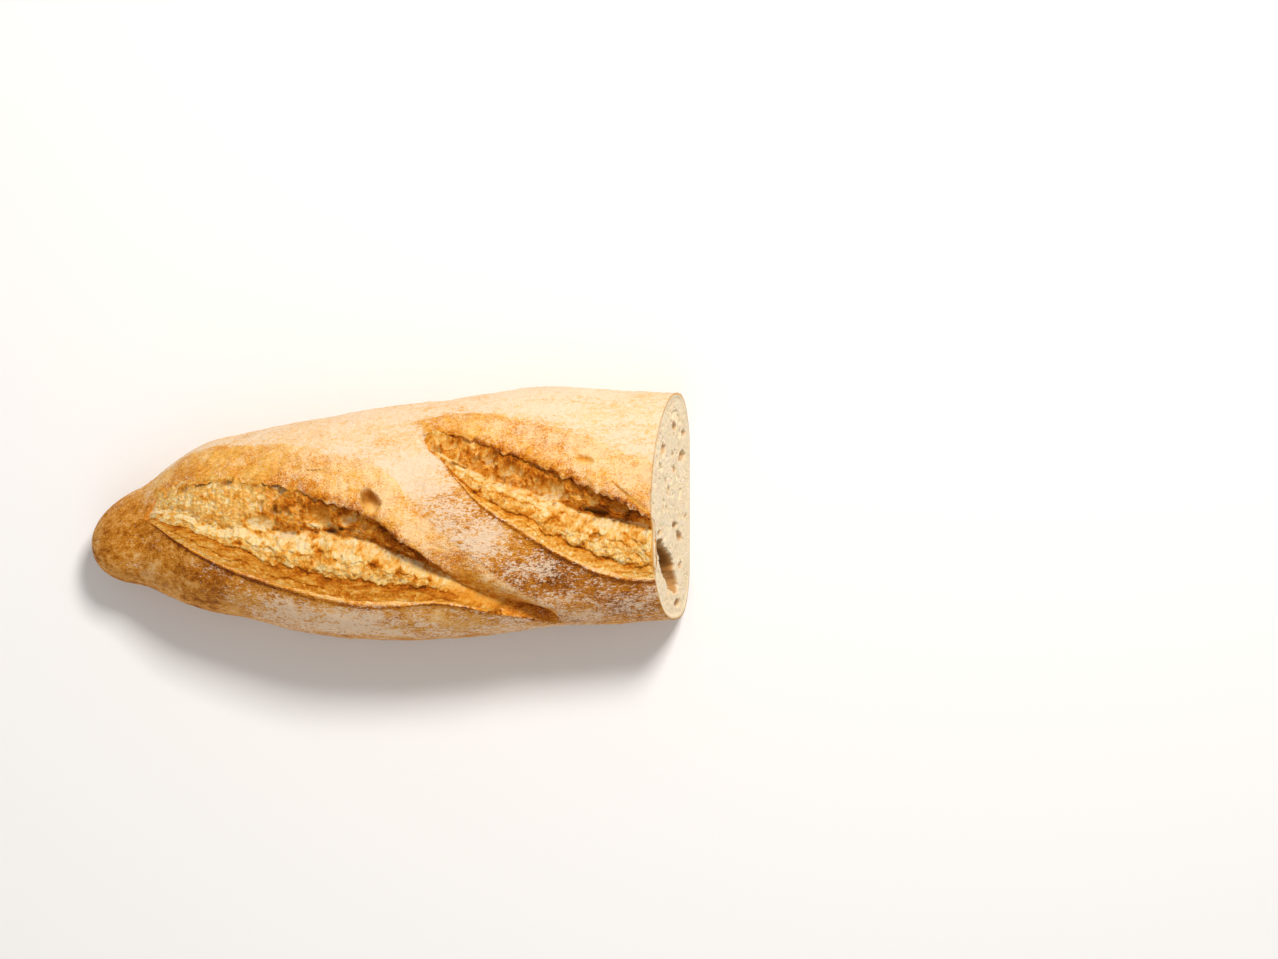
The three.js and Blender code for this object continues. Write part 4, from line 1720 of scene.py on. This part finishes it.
@dataclass(frozen=True)
class CrustFinish(Finish):
    """Baked crust: gold to brown, dusted with mottled flour, with painted glints on the bare skin and painted
    shade in its caves.
    """

    browning: Stops = (
        (0.0, srgb(247, 211, 163)),
        (0.25, srgb(238, 184, 110)),
        (0.5, srgb(216, 142, 40)),
        (0.72, srgb(174, 98, 10)),
        (1.0, srgb(104, 48, 4)),
    )
    bare: Stops = (
        (0.0, srgb(251, 212, 142)),
        (0.35, srgb(240, 181, 82)),
        (0.6, srgb(223, 143, 32)),
        (0.82, srgb(190, 98, 8)),
        (1.0, srgb(120, 54, 4)),
    )
    dust: Paint = srgb(246, 222, 196)
    # Painted highlight: cream glints over the bare skin, mixed with a little flour dust.
    shine: Paint = srgb(255, 226, 182)
    # Painted shade inside the skin's caves.
    inside: Paint = srgb(150, 88, 30)
    stretch: tuple[float, float, float] = (0.55, 1.0, 1.0)
    blotch: float = 0.85
    speckle: float = 0.95
    dust_cover: float = 0.85
    glint_cover: float = 0.7

    def material(self) -> bpy.types.Material:
        """Build the material.

        Returns:
            The material.
        """
        material, bench, shader, where = self.bench()
        mapping = bench.add("ShaderNodeMapping")
        mapping.inputs["Scale"].default_value = self.stretch
        bench.put(where, mapping.inputs["Vector"])
        drawn = mapping.outputs["Vector"]
        toast = self.trace(bench, Trace.TOAST)
        bare = self.trace(bench, Trace.BARE)
        fine = bench.math("SUBTRACT", 1.0, self.trace(bench, Trace.SMOOTH))
        speckle = bench.math("MULTIPLY", fine, self.speckle)
        baked = bench.group(
            self.bake, Vector=drawn, Toast=toast, Blotch=self.blotch, Speckle=speckle,
            Grain_Scale=self.grain_scale,
        )
        fray = bench.noise(where, 700.0, 3.0, 0.7)
        bare = bench.ease(bench.sway(bare, fray, 0.9), 0.3, 0.7)
        skin = bench.ramp(baked.outputs["Toast"], self.browning)
        torn = bench.ramp(baked.outputs["Toast"], self.bare)
        amount = self.trace(bench, Trace.FLOUR_AND_GLINT)
        flour = bench.group(self.flour, Vector=drawn, Amount=amount).outputs["Mask"]
        # Painted glints over the bare skin, laid with the flour's mask.
        glint = bench.group(
            self.flour, Vector=where, Amount=amount, Patch_Scale=160.0, Fleck_Scale=1250.0, Grain_Scale=2600.0
        )
        glint = bench.math("MULTIPLY", glint.outputs["Mask"], self.glint_cover)
        flour = bench.math("MULTIPLY", flour, self.dust_cover)
        colour = bench.mix(bare, bench.mix(flour, skin, self.dust), bench.mix(glint, torn, self.shine))
        # Painted shade in the skin's caves.
        hollow = self.trace(bench, Trace.HOLLOW)
        colour = bench.mix(hollow, colour, self.inside)
        dusted = bench.mix(bare, flour, glint)
        bench.put(colour, shader.inputs["Base Color"])
        rough = bench.math("ADD", bench.math("MULTIPLY", dusted, 0.3), self.roughness)
        bench.put(bench.math("SUBTRACT", rough, bench.math("MULTIPLY", bare, 0.16)), shader.inputs["Roughness"])
        self.raise_grain(bench, shader, baked.outputs["Height"])
        return material


@dataclass(frozen=True)
class TornFinish(Finish):
    """Crumb torn open in the oven: cream inside, toasted on its edges, with painted shade in its caves and
    pits.
    """

    toasting: Stops = (
        (0.0, srgb(253, 229, 182)),
        (0.22, srgb(246, 202, 120)),
        (0.48, srgb(230, 158, 52)),
        (0.72, srgb(196, 108, 12)),
        (1.0, srgb(112, 52, 6)),
    )
    # Painted shade inside the caves and pits.
    inside: Paint = srgb(150, 88, 28)
    blotch: float = 0.4
    speckle: float = 0.45

    def material(self) -> bpy.types.Material:
        """Build the material.

        Returns:
            The material.
        """
        material, bench, shader, where = self.bench()
        toast = self.trace(bench, Trace.TOAST)
        fine = bench.math("SUBTRACT", 1.0, self.trace(bench, Trace.SMOOTH))
        speckle = bench.math("ADD", 0.1, bench.math("MULTIPLY", fine, self.speckle))
        baked = bench.group(
            self.bake, Vector=where, Toast=toast, Blotch=self.blotch, Speckle=speckle,
            Grain_Scale=self.grain_scale,
        )
        colour = bench.ramp(baked.outputs["Toast"], self.toasting)
        # Painted shade in caves and pits.
        colour = bench.mix(self.trace(bench, Trace.HOLLOW), colour, self.inside)
        bench.put(colour, shader.inputs["Base Color"])
        self.raise_grain(bench, shader, baked.outputs["Height"])
        return material


@dataclass(frozen=True)
class CutFinish(Finish):
    """Open crumb as the knife left it, with a thin line of crust round it and painted shade deep in its holes.
    """

    crumb: Stops = ((0.3, srgb(232, 211, 178)), (0.7, srgb(247, 231, 204)))
    # The holes' walls: their own tan, then painted shade deeper in the cavity.
    walls: Stops = (
        (0.0, srgb(240, 222, 192)),
        (0.55, srgb(202, 158, 102)),
        (0.8, srgb(164, 116, 60)),
        (1.0, srgb(120, 80, 34)),
    )
    rind: Paint = srgb(222, 174, 112)
    toast: float = 0.5
    grain_scale: float = 950.0

    def material(self) -> bpy.types.Material:
        """Build the material.

        Returns:
            The material.
        """
        material, bench, shader, where = self.bench()
        baked = bench.group(
            self.bake, Vector=where, Toast=self.toast, Blotch=self.blotch, Speckle=self.speckle,
            Grain_Scale=self.grain_scale,
        )
        crumb = bench.ramp(baked.outputs["Toast"], self.crumb)
        hollow = self.trace(bench, Trace.HOLLOW)
        # Hole walls and the painted shade in them.
        crumb = bench.mix(bench.ease(hollow, 0.0, 0.5), crumb, bench.ramp(hollow, self.walls))
        edge = bench.ease(self.trace(bench, Trace.TOAST), 0.3, 0.9)
        bench.put(bench.mix(edge, crumb, self.rind), shader.inputs["Base Color"])
        self.raise_grain(bench, shader, baked.outputs["Height"])
        return material


@dataclass(frozen=True)
class Lamp:
    """A square lamp: where it stands, its side in metres, its power in watts and its colour."""

    name: str
    place: tuple[float, float, float]
    size: float
    power: float
    colour: Colour

    def build(self) -> None:
        """Light it, turned to the middle of the loaf."""
        data = bpy.data.lights.new(self.name, "AREA")
        data.size = self.size
        data.energy = self.power
        data.color = self.colour
        lamp = bpy.data.objects.new(self.name, data)
        lamp.location = self.place
        lamp.rotation_euler = (-Vector(self.place)).to_track_quat("-Z", "Y").to_euler()
        bpy.context.scene.collection.objects.link(lamp)


@dataclass
class Studio:
    """Camera, floor and soft light."""

    camera_height: float = 1.25
    seen_width: float = 0.4801
    centre: tuple[float, float] = (0.0921, 0.0124)
    sensor: float = 36.0
    lamps: Sequence[Lamp] = (
        Lamp("key", (0.36, 0.66, 0.98), 0.3, 13.5, (1.0, 0.93, 0.83)),
        Lamp("fill", (-0.2, -0.9, 0.9), 1.4, 4.0, (1.0, 0.94, 0.84)),
    )
    sky: Paint = (1.0, 0.95, 0.87, 1.0)
    sky_strength: float = 0.36
    floor_reach: float = 1.5
    floor_colour: Paint = srgb(240, 243, 250)
    floor_roughness: float = 0.9

    def build(self) -> None:
        """Set up everything that isn't the loaf."""
        scene = bpy.context.scene
        data = bpy.data.cameras.new("camera")
        data.sensor_width = self.sensor
        data.lens = self.sensor * self.camera_height / self.seen_width
        camera = bpy.data.objects.new("camera", data)
        camera.location = (*self.centre, self.camera_height)
        scene.collection.objects.link(camera)
        scene.camera = camera
        self._floor()
        for lamp in self.lamps:
            lamp.build()
        world = bpy.data.worlds.new("studio")
        world.use_nodes = True
        background = world.node_tree.nodes["Background"]
        background.inputs["Color"].default_value = self.sky
        background.inputs["Strength"].default_value = self.sky_strength
        scene.world = world
        scene.view_settings.view_transform = "Standard"

    def _floor(self) -> None:
        """A plain pale floor."""
        made = bmesh.new()
        bmesh.ops.create_grid(made, x_segments=1, y_segments=1, size=self.floor_reach)
        mesh = bpy.data.meshes.new("floor")
        made.to_mesh(mesh)
        made.free()
        material = bpy.data.materials.new("floor_white")
        material.use_nodes = True
        shader = material.node_tree.nodes["Principled BSDF"]
        shader.inputs["Base Color"].default_value = self.floor_colour
        shader.inputs["Roughness"].default_value = self.floor_roughness
        mesh.materials.append(material)
        floor = bpy.data.objects.new("floor", mesh)
        bpy.context.scene.collection.objects.link(floor)


def fit_to_frame(points: Array) -> Fit:
    """Match the skin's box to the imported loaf's.

    Args:
        points: Every point of the skin, in millimetres.

    Returns:
        A function from millimetres in the shape's own place to metres in the frame.
    """
    flat = points.reshape(-1, 3)
    low, high = flat.min(axis=0), flat.max(axis=0)
    corner_low, corner_high = (np.array(corner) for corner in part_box(NODE))
    scale = (corner_high - corner_low) / (high - low)

    def fit(place: Array) -> Array:
        """Millimetres to the frame."""
        return corner_low + (place - low) * scale

    return fit


def main() -> None:
    """Build the loaf piece by piece, then the studio."""
    logging.basicConfig(level=logging.INFO, format="%(name)s %(message)s")
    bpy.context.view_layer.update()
    shape = LoafShape()
    crust = CrustPiece(shape)
    fit = fit_to_frame(crust.points()[0])
    groups = {"bake": baked_group(), "flour": flour_and_glint_group()}
    baked = CrustFinish("baked_crust", **groups, roughness=0.6).material()
    torn = TornFinish("torn_crumb", **groups, translucency=0.4).material()
    cut = CutFinish("cut_crumb", **groups, roughness=0.85, relief=0.0005, translucency=0.3).material()
    crust.build(fit, baked)
    left = TornCrumb(
        name="torn_crumb_left", shape=shape, slash=shape.near_slash, start_x=-92.0, end_x=66.0,
        caves=NEAR_CAVES, toasted=NEAR_TOAST, torn_from=(-56, -36), seed=61,
    )
    right = TornCrumb(
        name="torn_crumb_right", shape=shape, slash=shape.far_slash, start_x=6.0, end_x=109.7,
        caves=FAR_CAVES, toasted=FAR_TOAST, torn_from=(8, 16), seed=71, band_toast=0.4, columns=420,
    )
    left.build(fit, torn)
    right.build(fit, torn)
    CutFace(shape).build(fit, cut)
    Studio().build()


if __name__ == "__main__":
    main()
